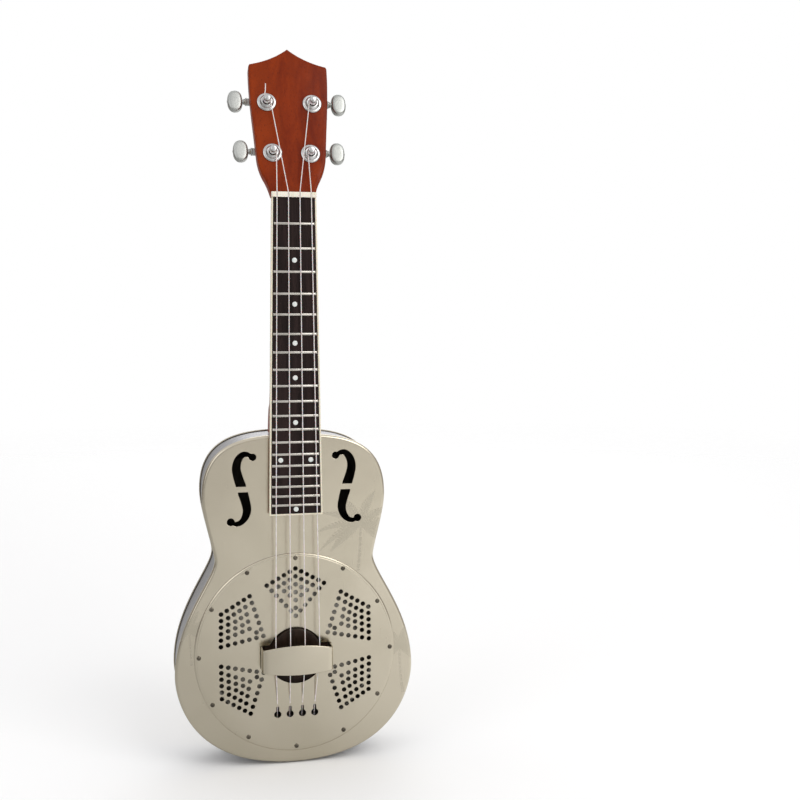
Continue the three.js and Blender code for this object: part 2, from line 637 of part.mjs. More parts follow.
// ---------- tuners, each in the head's own frame: Y goes into the wood, Z along the head ----------
function bush(x, z) {
  const bore = POST.radius + GAP;
  return turned([
    [bore, -BUSH.dome], [BUSH.domeRadius - 1, -BUSH.dome], [BUSH.domeRadius, -BUSH.dome + 1.2],
    [BUSH.domeRadius, -GAP - BUSH.flange], [BUSH.flangeRadius - 0.6, -GAP - BUSH.flange],
    [BUSH.flangeRadius, -GAP - BUSH.flange / 2], [BUSH.flangeRadius, -GAP], [BUSH.radius, -GAP],
    [BUSH.radius, BUSH.depth], [bore, BUSH.depth], [bore, -BUSH.dome],
  ], x, z, 14);
}

function post(x, z) {
  const { radius, stand, tenonRadius } = POST;
  const gearFace = WORM.depth - GEAR.thickness / 2 - GAP;
  const tenonEnd = WORM.depth + GEAR.thickness / 2 + 0.6;
  return turned([
    [0, -stand], [radius - 0.8, -stand], [radius, -stand + 0.8], [radius, -stand + 2.4],
    [radius - 0.7, -WRAP_HEIGHT], [radius - 0.3, -BUSH.dome - 0.4], [radius, -BUSH.dome], [radius, gearFace],
    [tenonRadius, gearFace], [tenonRadius, tenonEnd], [0, tenonEnd],
  ], x, z, 12);
}

// Worm wheel: straight-sided teeth, each twisted to follow the worm's thread.
function gear(x, z) {
  const { teeth, pitchRadius, addendum, dedendum, thickness } = GEAR;
  const quarterTooth = (Math.PI * pitchRadius) / teeth / 2 - TOOTH_SLACK / 4;
  const outline = [];
  for (let tooth = 0; tooth < teeth; tooth++) {
    const middle = Math.PI / 2 + (2 * Math.PI * tooth) / teeth;
    const root = { radius: pitchRadius - dedendum, half: quarterTooth + 0.3 };
    const tip = { radius: pitchRadius + addendum, half: quarterTooth - 0.25 };
    for (const [corner, way] of [[root, -1], [tip, -1], [tip, 1], [root, 1]]) {
      outline.push([corner.radius, middle + (way * corner.half) / pitchRadius]);
    }
  }
  const shape = new THREE.Shape(outline.map(([radius, turn]) => {
    return new THREE.Vector2(radius * Math.cos(turn), radius * Math.sin(turn));
  }));
  shape.holes = [new THREE.Path(circle(POST.tenonRadius + GAP, 0, 0, 8))];
  const wheel = new THREE.ExtrudeGeometry(shape, { depth: thickness, steps: 1, bevelEnabled: false });
  wheel.translate(0, 0, -thickness / 2);
  const leadSlope = WORM_PITCH / (2 * Math.PI * (WORM.offset - pitchRadius)) / pitchRadius;
  const position = wheel.getAttribute("position");
  const point = new THREE.Vector3();
  const axis = new THREE.Vector3(0, 0, 1);
  for (let i = 0; i < position.count; i++) {
    point.fromBufferAttribute(position, i);
    point.applyAxisAngle(axis, point.z * leadSlope);
    position.setXYZ(i, point.x, point.y, point.z);
  }
  return closed(wheel.rotateX(Math.PI / 2).translate(x, WORM.depth, z));
}

// Worm and its shaft, with one thread cut as a helix that meshes with the wheel at rest.
function wormShaft(x, z, side) {
  const axisZ = z + WORM.offset;
  const core = rodAlongX(WORM.radius, x - side * WORM.length / 2, x + side * WORM.length / 2, WORM.depth, axisZ, 9);
  const shaft = rodAlongX(
    SHAFT_RADIUS, x + side * (WORM.length / 2 - 0.5), x + side * (HOUSING.barrelEnd + 2), WORM.depth, axisZ, 10);
  const stepsPerTurn = 9;
  const steps = stepsPerTurn * WORM.turns;
  const rootHalf = WORM_PITCH / 4 - TOOTH_SLACK / 4 + 0.25;
  const tipHalf = WORM_PITCH / 4 - TOOTH_SLACK / 4 - 0.28;
  const tip = WORM.radius + WORM.threadRise;
  const rings = [];
  for (let i = 0; i <= steps; i++) {
    const turn = (2 * Math.PI * (i - steps / 2)) / stepsPerTurn;
    // The wheel's tooth points at the worm at rest, so the thread's gap is centred there.
    const along = (turn / (2 * Math.PI)) * WORM_PITCH;
    const corners = [[WORM.radius - 0.4, -rootHalf], [tip, -tipHalf], [tip, tipHalf], [WORM.radius - 0.4, rootHalf]];
    rings.push(corners.map(([radius, shift]) => new THREE.Vector3(
      along + shift, radius * Math.sin(turn), radius * Math.cos(turn))));
  }
  const thread = loft(rings, "fan").translate(x, WORM.depth, axisZ);
  return toGeometry(joined(core, shaft).add(toSolid(thread)));
}

// Cast housing, open towards the wood, with a barrel for the shaft and a lug for its screw.
function housing(x, z, side) {
  const { half, wall, height, top, barrelRadius, barrelEnd } = HOUSING;
  const base = HEAD_THICKNESS + GAP;
  const back = base + height;
  const shell = (inset, y0, y1) => {
    const radius = half - inset;
    const steps = 8;
    const arc = Array.from({ length: steps + 1 }, (_, i) => {
      const turn = Math.PI + (Math.PI * i) / steps;
      return new THREE.Vector2(x + radius * Math.cos(turn), z + radius * Math.sin(turn));
    });
    arc.push(new THREE.Vector2(x + radius, z + top - inset), new THREE.Vector2(x - radius, z + top - inset));
    return plate(arc, y0, y1);
  };
  const axisZ = z + WORM.offset;
  const barrel = rodAlongX(
    barrelRadius, x + side * (half - 1), x + side * barrelEnd, WORM.depth, axisZ, 14);
  const bore = rodAlongX(
    SHAFT_RADIUS + GAP, x, x + side * (barrelEnd + 1), WORM.depth, axisZ, 10);
  const lugTurn = Math.PI * 1.5 - side * 0.72;
  const lugX = x + 9 * Math.cos(lugTurn);
  const lugZ = z + 9 * Math.sin(lugTurn);
  const lug = new THREE.CylinderGeometry(2.3, 2.3, 1.6, 12).translate(lugX, base + 0.8, lugZ);
  const arm = box(-2, 2, base, base + 1.6, -8.6, -half + 1.5);
  arm.rotateY(-side * 0.72).translate(x, 0, z);
  const screwHole = new THREE.CylinderGeometry(1, 1, 6, 8).translate(lugX, base, lugZ);
  const outside = joined(shell(0, base, back), barrel, lug, arm);
  const hollow = shell(wall, base - 1, back - wall);
  return toGeometry(outside.subtract(toSolid(hollow)).subtract(toSolid(bore)).subtract(toSolid(screwHole)));
}

// Oval button on a short collar.
function knob(x, z, side) {
  const { centre, halfWidth, halfHeight, thickness, collarRadius } = KNOB;
  const axisZ = z + WORM.offset;
  const steps = 18;
  const oval = Array.from({ length: steps }, (_, i) => {
    const turn = (2 * Math.PI * i) / steps;
    const round = (value) => Math.sign(value) * Math.abs(value) ** 0.86;
    return new THREE.Vector2((halfWidth - 1.4) * round(Math.cos(turn)), (halfHeight - 1.4) * round(Math.sin(turn)));
  });
  const button = new THREE.ExtrudeGeometry(new THREE.Shape(oval), {
    depth: thickness - 3, bevelEnabled: true, bevelThickness: 1.5, bevelSize: 1.4, bevelSegments: 1,
  });
  button.translate(0, 0, -(thickness - 3) / 2).rotateX(Math.PI / 2);
  button.translate(x + side * centre, WORM.depth, axisZ);
  const inner = HOUSING.barrelEnd + GAP;
  const collar = rodAlongX(
    collarRadius, x + side * inner, x + side * (centre - halfWidth + 1.5), WORM.depth, axisZ, 12);
  const socket = rodAlongX(
    SHAFT_RADIUS + GAP, x + side * (inner - 1), x + side * (HOUSING.barrelEnd + 2 + GAP), WORM.depth, axisZ, 10);
  return toGeometry(joined(button, collar).subtract(toSolid(socket)));
}

// ---------- strings ----------
function headPoint(x, y, z) {
  return new THREE.Vector3(x, y, z)
    .applyAxisAngle(new THREE.Vector3(1, 0, 0), -HEAD_TILT)
    .add(new THREE.Vector3(0, HEAD_FACE_Y, NUT_Z));
}

// From the knot's slot in the cover plate, over the saddle and the nut, to the inner side of its post.
function string(index) {
  const { side, x, along } = TUNERS[index];
  const tuck = POST.radius + STRING_RADIUS + GAP;
  const nutX = stringX(index, STRING_SPACING.nut);
  const saddleX = stringX(index, STRING_SPACING.saddle);
  const tailX = stringX(index, STRING_SPACING.tail);
  const route = [
    new THREE.Vector3(tailX, COVER.face + COVER.thickness + 2.2, CONE_Z - KEYHOLE.below - 1.6),
    new THREE.Vector3(tailX, COVER.face + COVER.thickness + 0.4, CONE_Z - KEYHOLE.below - 0.6),
    new THREE.Vector3(saddleX, BOARD_Y - STRING_RISE_AT_SADDLE, CONE_Z),
    new THREE.Vector3(nutX, BOARD_Y - STRING_RISE_AT_NUT, NUT_Z + NUT_THICKNESS + GAP),
    headPoint(side * (x - tuck), -WRAP_HEIGHT, along),
  ];
  return tube(route, STRING_RADIUS, 8);
}

// A round tube through the points of a path, mitred at each bend.
function tube(points, radius, sides) {
  const rings = points.map((point, i) => {
    const before = point.clone().sub(points[Math.max(i - 1, 0)]);
    const after = points[Math.min(i + 1, points.length - 1)].clone().sub(point);
    const along = before.normalize().add(after.normalize()).normalize();
    const right = new THREE.Vector3(1, 0, 0).addScaledVector(along, -along.x).normalize();
    const up = new THREE.Vector3().crossVectors(right, along);
    return Array.from({ length: sides }, (_, j) => {
      const turn = (2 * Math.PI * j) / sides;
      return point.clone()
        .addScaledVector(right, radius * Math.cos(turn))
        .addScaledVector(up, radius * Math.sin(turn));
    });
  });
  return loft(rings, "fan");
}

// ---------- assembly ----------
add("top_plate", frontPlate(), nickel());
add("side_band", sideBand(), brushedNickel());
add("back_plate", backPlate(), nickel());
add("cone_well", coneWell(), nickel());
add("resonator_cone", resonatorCone(), spunAluminium());
add("biscuit", biscuit(), maple());
add("saddle", saddle(), bone());
add("cover_plate", coverPlate(), nickel());
add("hand_rest", handRest(), nickel());

add("neck", neck(), mahogany());
add("fingerboard", fingerboard(), rosewood());
add("fingerboard_binding", binding(), bone());
add("nut", nut(), bone());
for (let number = 1; number <= FRET_COUNT; number++) {
  add(`fret_${String(number).padStart(2, "0")}`, fret(number), nickelSilver());
}

const head = new THREE.Group();
head.rotation.x = -HEAD_TILT;
head.position.set(0, HEAD_FACE_Y, NUT_Z);
instrument.add(head);
for (const { string: number, side, x, along } of TUNERS) {
  add(`tuner_${number}_bush`, bush(side * x, along), chrome(), head);
  add(`tuner_${number}_post`, post(side * x, along), chrome(), head);
  add(`tuner_${number}_gear`, gear(side * x, along), brass(), head);
  add(`tuner_${number}_worm_shaft`, wormShaft(side * x, along, side), brass(), head);
  add(`tuner_${number}_housing`, housing(side * x, along, side), satinChrome(), head);
  add(`tuner_${number}_knob`, knob(side * x, along, side), satinChrome(), head);
}
for (let index = 0; index < 4; index++) {
  add(`string_${index + 1}`, string(index), nylon());
}

export default instrument;
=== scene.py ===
import math

import bmesh
import bpy
from mathutils import Euler, Matrix, Vector
from mathutils.geometry import delaunay_2d_cdt


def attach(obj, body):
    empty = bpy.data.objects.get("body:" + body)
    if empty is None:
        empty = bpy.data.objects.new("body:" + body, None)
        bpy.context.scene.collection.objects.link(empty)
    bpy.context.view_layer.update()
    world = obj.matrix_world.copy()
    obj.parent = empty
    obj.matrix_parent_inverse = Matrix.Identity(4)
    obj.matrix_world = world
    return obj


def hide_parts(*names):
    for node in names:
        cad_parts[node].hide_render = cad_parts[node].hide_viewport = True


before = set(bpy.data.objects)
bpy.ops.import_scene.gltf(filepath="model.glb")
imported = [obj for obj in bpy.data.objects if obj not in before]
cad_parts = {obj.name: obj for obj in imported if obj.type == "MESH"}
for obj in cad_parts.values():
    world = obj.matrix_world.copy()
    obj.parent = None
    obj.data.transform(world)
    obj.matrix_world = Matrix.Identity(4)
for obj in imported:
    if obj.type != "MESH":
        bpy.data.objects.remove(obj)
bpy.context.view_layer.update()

MM = 0.001

# ---------- driving dimensions ----------
# The clearance between neighbouring pieces, and the thickness of the sheet metal.
GAP = 0.3
SHEET = 1.0

# Nut, fingerboard, frets and dots.
NUT_Z = -9.0
BOARD_Y = -10.0
SCALE_LENGTH = 380.0
FRET_COUNT = 19
BOARD_THICKNESS = 5.0
BOARD_PAST_LAST_FRET = 8.5
NUT_WIDTH = 36.7
BOARD_END_WIDTH = 44.3
BINDING_WIDTH = 1.6
NUT_THICKNESS = 4.2
NUT_RISE = 1.7
FRET_CROWN_HEIGHT = 1.0
FRET_CROWN_WIDTH = 2.2
DOT_RADIUS = 2.1
DOT_FRETS = (3, 5, 7, 9, 12)
PAIR_FRET = 15
PAIR_HALF_SPACING = 12.5

# Strings: spacing from one to the next, and height over the board's plane.
STRING_RADIUS = 0.42
STRING_SPACING = {"nut": 9.33, "saddle": 12.3, "tail": 10.5}
STRING_RISE_AT_NUT = 1.2
STRING_RISE_AT_SADDLE = 5.7

# Body: its front face, its depth, its outline and the raised panel of its back.
FRONT_Y = BOARD_Y + 9.8
BODY_DEPTH = 54.6
BACK_Y = FRONT_Y + BODY_DEPTH
ROLL_RADIUS = 2.4
SKIRT = 5.0
BODY_TOP = 195.0
BODY_BOTTOM = 476.0
# Half of the body's outline: curves through (half width, distance below the nut), with their handles.
BODY_CURVES = (
    ((0, BODY_TOP), (40, BODY_TOP), (77, 199), (77, 247)),
    ((77, 247), (77, 263), (67, 292), (67, 300)),
    ((67, 300), (67, 315), (100.8, 350), (100.8, 397)),
    ((100.8, 397), (100.8, 406), (96, BODY_BOTTOM), (0, BODY_BOTTOM)),
)
PANEL_RISE = 3.5
PANEL_RIM = 15.0
PANEL_SLOPE = 7.0
# The two parts of a sound hole: a band of (x, distance below the nut, half width), then the ball at its end.
SOUND_HOLE = (
    (((44.4, 238, 4.1), (46.9, 230.4, 3.8), (48.4, 222.5, 3.5), (46.8, 215.6, 3.1), (42.8, 211.3, 2.4),
      (38.6, 211.2, 1.9)), (34.8, 213.6, 3.0)),
    (((43.3, 242.8, 4.1), (41.2, 250, 3.7), (39.9, 257.4, 3.4), (41.6, 264, 2.9), (45.3, 268.2, 2.2),
      (49.5, 269.4, 1.9)), (53.4, 267.4, 3.2)),
)

CONE_Z = NUT_Z - SCALE_LENGTH - 0.4
COVER_RADIUS = 85.0
COVER_ROLL = 2.4
COVER_THICKNESS = 1.2
COVER_FACE = BOARD_Y + 8.3
COVER_SCREW_CIRCLE = 81.0
COVER_SCREWS = 12
COVER_SCREW_HOLE = 1.3
OPENING_RADIUS = 24.0
OPENING_BELOW = 2.5
NOTCH_HALF_WIDTH = 30.2
NOTCH_HALF_HEIGHT = 9.8
KEYHOLE_BELOW = 52.7
KEYHOLE_RADIUS = 3.0
KEYHOLE_SLOT_HALF = 1.2
KEYHOLE_SLOT = 4.0
PERFORATION_RADIUS = 1.95
KITES = 5
KITE_STEP = math.radians(60)
KITE_FIRST = math.radians(-30)
KITE_OUTER = 72.0
KITE_SIDE = (24.2, 58.5)
KITE_INNER = 31.5

# Hand rest: a strap that stands over the strings.
REST_HALF_WIDTH = 29.8
REST_STAND = 18.3
REST_MIDDLE = 25.0
REST_END = 19.0
REST_NECKWARDS = 0.62
REST_CORNER = 5.0
REST_FOOT = 6.0
REST_THICKNESS = 1.2
REST_ARCH = 1.5

# Cone well, cone, biscuit and saddle.
WELL_RADIUS = 75.0
WELL_DEPTH = 23.0
WELL_LEDGE = 9.0
WELL_FLANGE = 79.5
CONE_RIM = 74.0
CONE_TOP = 17.0
CONE_HEIGHT = 21.0
CONE_SHEET = 0.6
BISCUIT_RADIUS = 20.9
BISCUIT_THICKNESS = 8.0
# The biscuit's thin dark brim: a dark sheet that stands in for the shade in the cover's opening.
SHADE_BRIM_RADIUS = 28.0
SHADE_BRIM_THICKNESS = 0.8
SADDLE_WIDTH = 50.0
SADDLE_THICKNESS = 2.6

# Head, neck, heel and the stick that runs through the body.
HEAD_TILT = math.radians(17)
HEAD_FACE_Y = BOARD_Y + 3.3
HEAD_THICKNESS = 12.0
HEAD_APEX = 133.7
HEAD_CORNER = (32.7, 118.3)
NECK_DEPTH_AT_NUT = 12.5
NECK_DEPTH_AT_HEEL = 15.0
HEEL_START = 148.0
HEEL_TIP = 172.0
HEEL_HALF = 11.0
HEEL_INSET = 3.5
STICK_HALF = 10.0
STICK_FRONT = 28.0

# Number, side of the head, distance from its middle line and from the nut.
TUNERS = ((1, 1, 15.7, 38.9), (2, 1, 19.0, 83.9), (3, -1, 19.0, 83.9), (4, -1, 15.7, 38.9))
POST_RADIUS = 3.0
POST_WAIST = 2.3
POST_STAND = 10.0
BUSH_FLANGE = 8.0
BUSH_DOME = 5.7
BUSH_RISE = 3.4
BUSH_SLEEVE = 4.1
BUSH_DEPTH = 9.0
WRAP_FOOT = 4.5
WRAP_TURNS = 2.5
WRAP_PITCH = 0.88
STUB_LENGTH = 1.6
LONG_STUB_TUNER = 3
WORM_OFFSET = 7.6
WORM_DEPTH = 15.6
HOUSING_HALF = 6.9
HOUSING_HEIGHT = 7.8
HOUSING_TOP = 11.5
BARREL_RADIUS = 3.2
BARREL_END = 16.4
LUG_TURN = 0.72
LUG_REACH = 9.0
KNOB_CENTRE = 24.8
KNOB_HALF_WIDTH = 6.4
KNOB_HALF_HEIGHT = 9.4
KNOB_THICKNESS = 6.4

HEAD_FRAME = Matrix.Translation((0, HEAD_FACE_Y * MM, NUT_Z * MM)) @ Matrix.Rotation(-HEAD_TILT, 4, "X")


# ---------- lines and loops ----------
def bezier(handles, steps):
    """Points along a curve with any number of handles."""
    curve = []
    for i in range(steps + 1):
        row = [Vector(handle) for handle in handles]
        while len(row) > 1:
            row = [a.lerp(b, i / steps) for a, b in zip(row, row[1:])]
        curve.append(tuple(row[0]))
    return curve


def signed_area(loop):
    """Area inside a loop, negative when the loop runs clockwise."""
    return sum(a[0] * b[1] - b[0] * a[1] for a, b in zip(loop, loop[1:] + loop[:1])) / 2


def grown(loop, distance):
    """A closed loop moved outwards, square to itself, or inwards for a negative distance."""
    side = math.copysign(1, signed_area(loop)) * distance
    moved = []
    for i, (x, z) in enumerate(loop):
        before, after = loop[i - 1], loop[(i + 1) % len(loop)]
        run_x, run_z = after[0] - before[0], after[1] - before[1]
        run = math.hypot(run_x, run_z)
        moved.append((x + side * run_z / run, z - side * run_x / run))
    return moved


def filleted(corners, radius, steps=4, closed=False):
    """A line of points with its corners rounded, by the radius or as much as there is room for."""
    count = len(corners)
    line = []
    for i, corner in enumerate(corners):
        if not closed and i in (0, count - 1):
            line.append(tuple(corner))
            continue
        here = Vector(corner)
        before, after = Vector(corners[i - 1]), Vector(corners[(i + 1) % count])
        reach = min(radius, (before - here).length / 2, (after - here).length / 2)
        start = here + (before - here).normalized() * reach
        end = here + (after - here).normalized() * reach
        line.extend(bezier((start, here, end), steps))
    return line


def smoothed(stations, steps):
    """A smooth line through the stations, each a tuple of numbers."""
    padded = [stations[0], *stations, stations[-1]]
    line = []
    for a, b, c, d in zip(padded, padded[1:], padded[2:], padded[3:]):
        for i in range(steps):
            t = i / steps
            line.append(tuple(
                q + 0.5 * ((r - p) * t + (2 * p - 5 * q + 4 * r - s) * t**2 + (3 * q - p - 3 * r + s) * t**3)
                for p, q, r, s in zip(a, b, c, d)))
    return [*line, tuple(stations[-1])]


def circle(radius, x, z, sides):
    """A closed loop of points round a centre."""
    turns = [2 * math.pi * i / sides for i in range(sides)]
    return [(x + radius * math.cos(turn), z + radius * math.sin(turn)) for turn in turns]


def mirrored(right):
    """A closed loop from its right half, whose ends lie on the middle line."""
    return [*right, *[(-x, z) for x, z in reversed(right[1:-1])]]


def encloses(loop, point):
    """Whether a point lies inside a closed loop."""
    inside = False
    for (x0, z0), (x1, z1) in zip(loop, loop[1:] + loop[:1]):
        if (z0 > point.y) != (z1 > point.y) and point.x < x0 + (x1 - x0) * (point.y - z0) / (z1 - z0):
            inside = not inside
    return inside


def body_outline(inset=0.0, steps=26):
    """The body's outline as a closed loop, drawn in by an inset."""
    right = []
    for curve in BODY_CURVES:
        right.extend(bezier([(x, NUT_Z - below) for x, below in curve], steps)[:-1])
    right.append((0, NUT_Z - BODY_BOTTOM))
    return grown(mirrored(right), -inset)


# ---------- meshes ----------
class Skin:
    """The points and faces of one mesh, gathered ring by ring, in millimetres."""

    def __init__(self):
        self.points = []
        self.faces = []

    def ring(self, points):
        first = len(self.points)
        self.points.extend(points)
        return list(range(first, len(self.points)))

    def band(self, one, other):
        if len(one) == 1 or len(other) == 1:
            tip, rim = (one[0], other) if len(one) == 1 else (other[0], one)
            self.faces.extend((tip, rim[i - 1], rim[i]) for i in range(len(rim)))
            return
        self.faces.extend((one[i - 1], one[i], other[i], other[i - 1]) for i in range(len(one)))

    def bands(self, rings, joined=False):
        for one, other in zip(rings, rings[1:]):
            self.band(one, other)
        if joined:
            self.band(rings[-1], rings[0])

    def cap(self, ring):
        self.faces.append(tuple(ring))

    def fill(self, loops):
        """Fills one flat loop, square to Y, round any others that are holes in it."""
        order = [index for loop in loops for index in loop]
        flat = [Vector((self.points[index][0], self.points[index][2])) for index in order]
        edges = []
        for loop in loops:
            start = len(edges)
            edges.extend((start + i, start + (i + 1) % len(loop)) for i in range(len(loop)))
        corners, _, faces, originals, _, _ = delaunay_2d_cdt(flat, edges, [], 1, 1e-5)
        depth = self.points[order[0]][1]
        for corner, sources in zip(corners, originals):
            if not sources:
                sources.append(len(order))
                order.extend(self.ring([(corner.x, depth, corner.y)]))
        holes = [[(self.points[i][0], self.points[i][2]) for i in loop] for loop in loops[1:]]
        for face in faces:
            middle = sum((corners[v] for v in face), Vector((0, 0))) / len(face)
            if not any(encloses(hole, middle) for hole in holes):
                self.faces.append(tuple(order[originals[v][0]] for v in face))


def at_depth(loop, y):
    """A flat loop laid at a depth."""
    return [(x, y, z) for x, z in loop]


def shade(mesh, sharp_angle):
    """Smooth shading, with the edges over an angle kept sharp."""
    mesh.shade_smooth()
    mesh.set_sharp_from_angle(angle=math.radians(sharp_angle))


def mesh_object(name, skin, finish, place=None, sharp_angle=38):
    """A closed mesh from a skin: doubles merged, faces outwards, moved to its place."""
    mesh = bpy.data.meshes.new(name)
    mesh.from_pydata([Vector(point) * MM for point in skin.points], [], skin.faces)
    work = bmesh.new()
    work.from_mesh(mesh)
    bmesh.ops.remove_doubles(work, verts=work.verts, dist=0.002 * MM)
    bmesh.ops.recalc_face_normals(work, faces=work.faces)
    if place is not None:
        work.transform(place)
    work.to_mesh(mesh)
    work.free()
    shade(mesh, sharp_angle)
    mesh.materials.append(finish)
    made = bpy.data.objects.new(name, mesh)
    bpy.context.scene.collection.objects.link(made)
    return made


def settle(piece):
    """Applies a piece's modifiers to its mesh."""
    graph = bpy.context.evaluated_depsgraph_get()
    mesh = bpy.data.meshes.new_from_object(
        piece.evaluated_get(graph), preserve_all_data_layers=True, depsgraph=graph)
    piece.modifiers.clear()
    piece.data = mesh
    return piece


def even_normals(piece):
    """Keeps the shading of large flat faces flat beside small rounded ones."""
    weigh = piece.modifiers.new("even_normals", "WEIGHTED_NORMAL")
    weigh.keep_sharp = True
    return settle(piece)


def belongs(piece, body, slot, *nodes):
    """The body a piece rides on and the frame's nodes it stands for; the slot, a finish's name, is not used.
    """
    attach(piece, body)
    if nodes:
        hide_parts(*nodes)
    return piece


def turn(skin, profile, axis="Y", centre=(0, 0, 0), sides=64, closed=False):
    """Turns a profile of (radius, along) points about an axis through the centre."""
    rings = []
    for radius, along in profile:
        turns = [2 * math.pi * i / sides for i in range(sides)] if radius > 1e-6 else [0]
        points = []
        for angle in turns:
            across, up = radius * math.cos(angle), radius * math.sin(angle)
            offset = (across, along, up) if axis == "Y" else (along, across, up)
            points.append(tuple(c + o for c, o in zip(centre, offset)))
        rings.append(skin.ring(points))
    skin.bands(rings, joined=closed)


def slab(skin, outline, y0, y1, round_front=0.0, round_back=0.0, steps=3):
    """A closed plate of that outline from y0 back to y1, with rounded edges."""
    rings = []
    for radius, face, inwards in ((round_front, y0, 1), (round_back, y1, -1)):
        arc = []
        for i in range(steps + 1):
            angle = math.pi / 2 * i / steps
            inset = radius * (1 - math.sin(angle))
            arc.append((inset, face + inwards * radius * (1 - math.cos(angle))))
        rings.extend(arc if inwards > 0 else reversed(arc))
    indices = [skin.ring(at_depth(grown(outline, -inset), y)) for inset, y in rings]
    skin.bands(indices)
    skin.fill([indices[0]])
    skin.fill([indices[-1]])


def tube(skin, path, radius, sides=10):
    """A round tube along a path, closed at its ends."""
    points = [Vector(point) for point in path]
    runs = [(b - a).normalized() for a, b in zip(points, points[1:])]
    runs = [runs[0], *[(a + b).normalized() for a, b in zip(runs, runs[1:])], runs[-1]]
    right = runs[0].orthogonal().normalized()
    rings = []
    for point, run in zip(points, runs):
        right = (right - run * right.dot(run)).normalized()
        up = run.cross(right)
        turns = [2 * math.pi * i / sides for i in range(sides)]
        rings.append(skin.ring(
            [tuple(point + right * radius * math.cos(t) + up * radius * math.sin(t)) for t in turns]))
    skin.bands(rings)
    skin.cap(rings[0])
    skin.cap(rings[-1])


# ---------- node trees ----------
class Graph:
    """Short calls that build one tree of nodes."""

    def __init__(self, tree):
        self.tree = tree

    def node(self, kind, **settings):
        made = self.tree.nodes.new(kind)
        for name, value in settings.items():
            setattr(made, name, value)
        return made

    def feed(self, socket, value):
        """Links an output to the socket, or sets the socket to a plain value."""
        if isinstance(value, bpy.types.NodeSocket):
            self.tree.links.new(value, socket)
        elif value is not None:
            socket.default_value = value

    def maths(self, operation, *values):
        made = self.node("ShaderNodeMath", operation=operation)
        for socket, value in zip(made.inputs, values):
            self.feed(socket, value)
        return made.outputs[0]

    def mapped(self, value, low, high, to_low=0.0, to_high=1.0):
        """Moves a value smoothly from one range to another, held at its ends."""
        made = self.node("ShaderNodeMapRange", interpolation_type="SMOOTHSTEP")
        for name, number in zip(
                ("Value", "From Min", "From Max", "To Min", "To Max"), (value, low, high, to_low, to_high)):
            self.feed(made.inputs[name], number)
        return made.outputs["Result"]

    def noise(self, vector, scale, detail=3.0, roughness=0.5, distortion=0.0):
        made = self.node("ShaderNodeTexNoise")
        self.feed(made.inputs["Vector"], vector)
        for name, number in (
                ("Scale", scale), ("Detail", detail), ("Roughness", roughness), ("Distortion", distortion)):
            self.feed(made.inputs[name], number)
        return made.outputs[0]

    def stretched(self, vector, scale, move=(0, 0, 0)):
        """The vector with each axis scaled, so that a noise on it has a grain."""
        made = self.node("ShaderNodeMapping")
        self.feed(made.inputs["Vector"], vector)
        self.feed(made.inputs["Scale"], scale)
        self.feed(made.inputs["Location"], move)
        return made.outputs[0]

    def mixed(self, factor, one, other):
        made = self.node("ShaderNodeMix", data_type="RGBA")
        for index, value in ((0, factor), (6, one), (7, other)):
            self.feed(made.inputs[index], value)
        return made.outputs[2]

    def apart(self, vector):
        made = self.node("ShaderNodeSeparateXYZ")
        self.feed(made.inputs[0], vector)
        return made.outputs

    def together(self, x=0.0, y=0.0, z=0.0):
        made = self.node("ShaderNodeCombineXYZ")
        for socket, value in zip(made.inputs, (x, y, z)):
            self.feed(socket, value)
        return made.outputs[0]

    def use(self, group, kind="ShaderNodeGroup", **values):
        """One use of a node group, with its inputs given by name."""
        made = self.node(kind, node_tree=group)
        for name, value in values.items():
            self.feed(made.inputs[name.replace("_", " ")], value)
        return made.outputs


def new_group(name, kind, inputs, outputs):
    """A node group with named sockets: returns its graph, its inputs and its outputs."""
    tree = bpy.data.node_groups.new(name, kind)
    for label, socket, default in inputs:
        made = tree.interface.new_socket(label, in_out="INPUT", socket_type="NodeSocket" + socket)
        if default is not None:
            made.default_value = default
    for label, socket in outputs:
        tree.interface.new_socket(label, in_out="OUTPUT", socket_type="NodeSocket" + socket)
    graph = Graph(tree)
    return graph, graph.node("NodeGroupInput").outputs, graph.node("NodeGroupOutput").inputs


def handling_marks():
    """Soft smudges and fine hairlines that a handled surface picks up."""
    graph, given, result = new_group(
        "handling_marks", "ShaderNodeTree",
        [("Point", "Vector", None), ("Smudge Scale", "Float", 22.0), ("Hairline Scale", "Float", 260.0)],
        [("Smudges", "Float"), ("Hairlines", "Float")])
    smudges = graph.noise(given["Point"], given["Smudge Scale"], 4.0, 0.6, 0.6)
    graph.feed(result["Smudges"], graph.mapped(smudges, 0.42, 0.72))
    lines = graph.noise(
        graph.stretched(given["Point"], (1.0, 1.0, 0.06)), given["Hairline Scale"], 2.0, 0.7, 1.2)
    graph.feed(result["Hairlines"], graph.mapped(lines, 0.6, 0.72))
    return graph.tree


def wood_grain():
    """Figure that wanders along Z, and short dark pores."""
    graph, given, result = new_group(
        "wood_grain", "ShaderNodeTree",
        [("Point", "Vector", None), ("Across", "Float", 60.0), ("Pore Scale", "Float", 900.0)],
        [("Figure", "Float"), ("Pores", "Float"), ("Bands", "Float")])
    drawn = graph.stretched(given["Point"], (1.0, 1.0, 0.07))
    graph.feed(result["Figure"], graph.mapped(graph.noise(drawn, given["Across"], 5.0, 0.62, 0.8), 0.3, 0.72))
    pores = graph.noise(
        graph.stretched(given["Point"], (1.0, 1.0, 0.045)), given["Pore Scale"], 2.0, 0.5, 0.0)
    graph.feed(result["Pores"], graph.mapped(pores, 0.60, 0.72))
    bands = graph.noise(
        graph.stretched(given["Point"], (1.0, 0.5, 0.02)), graph.maths("MULTIPLY", given["Across"], 0.4),
        2.0, 0.5, 0.3)
    graph.feed(result["Bands"], graph.mapped(bands, 0.35, 0.65))
    return graph.tree


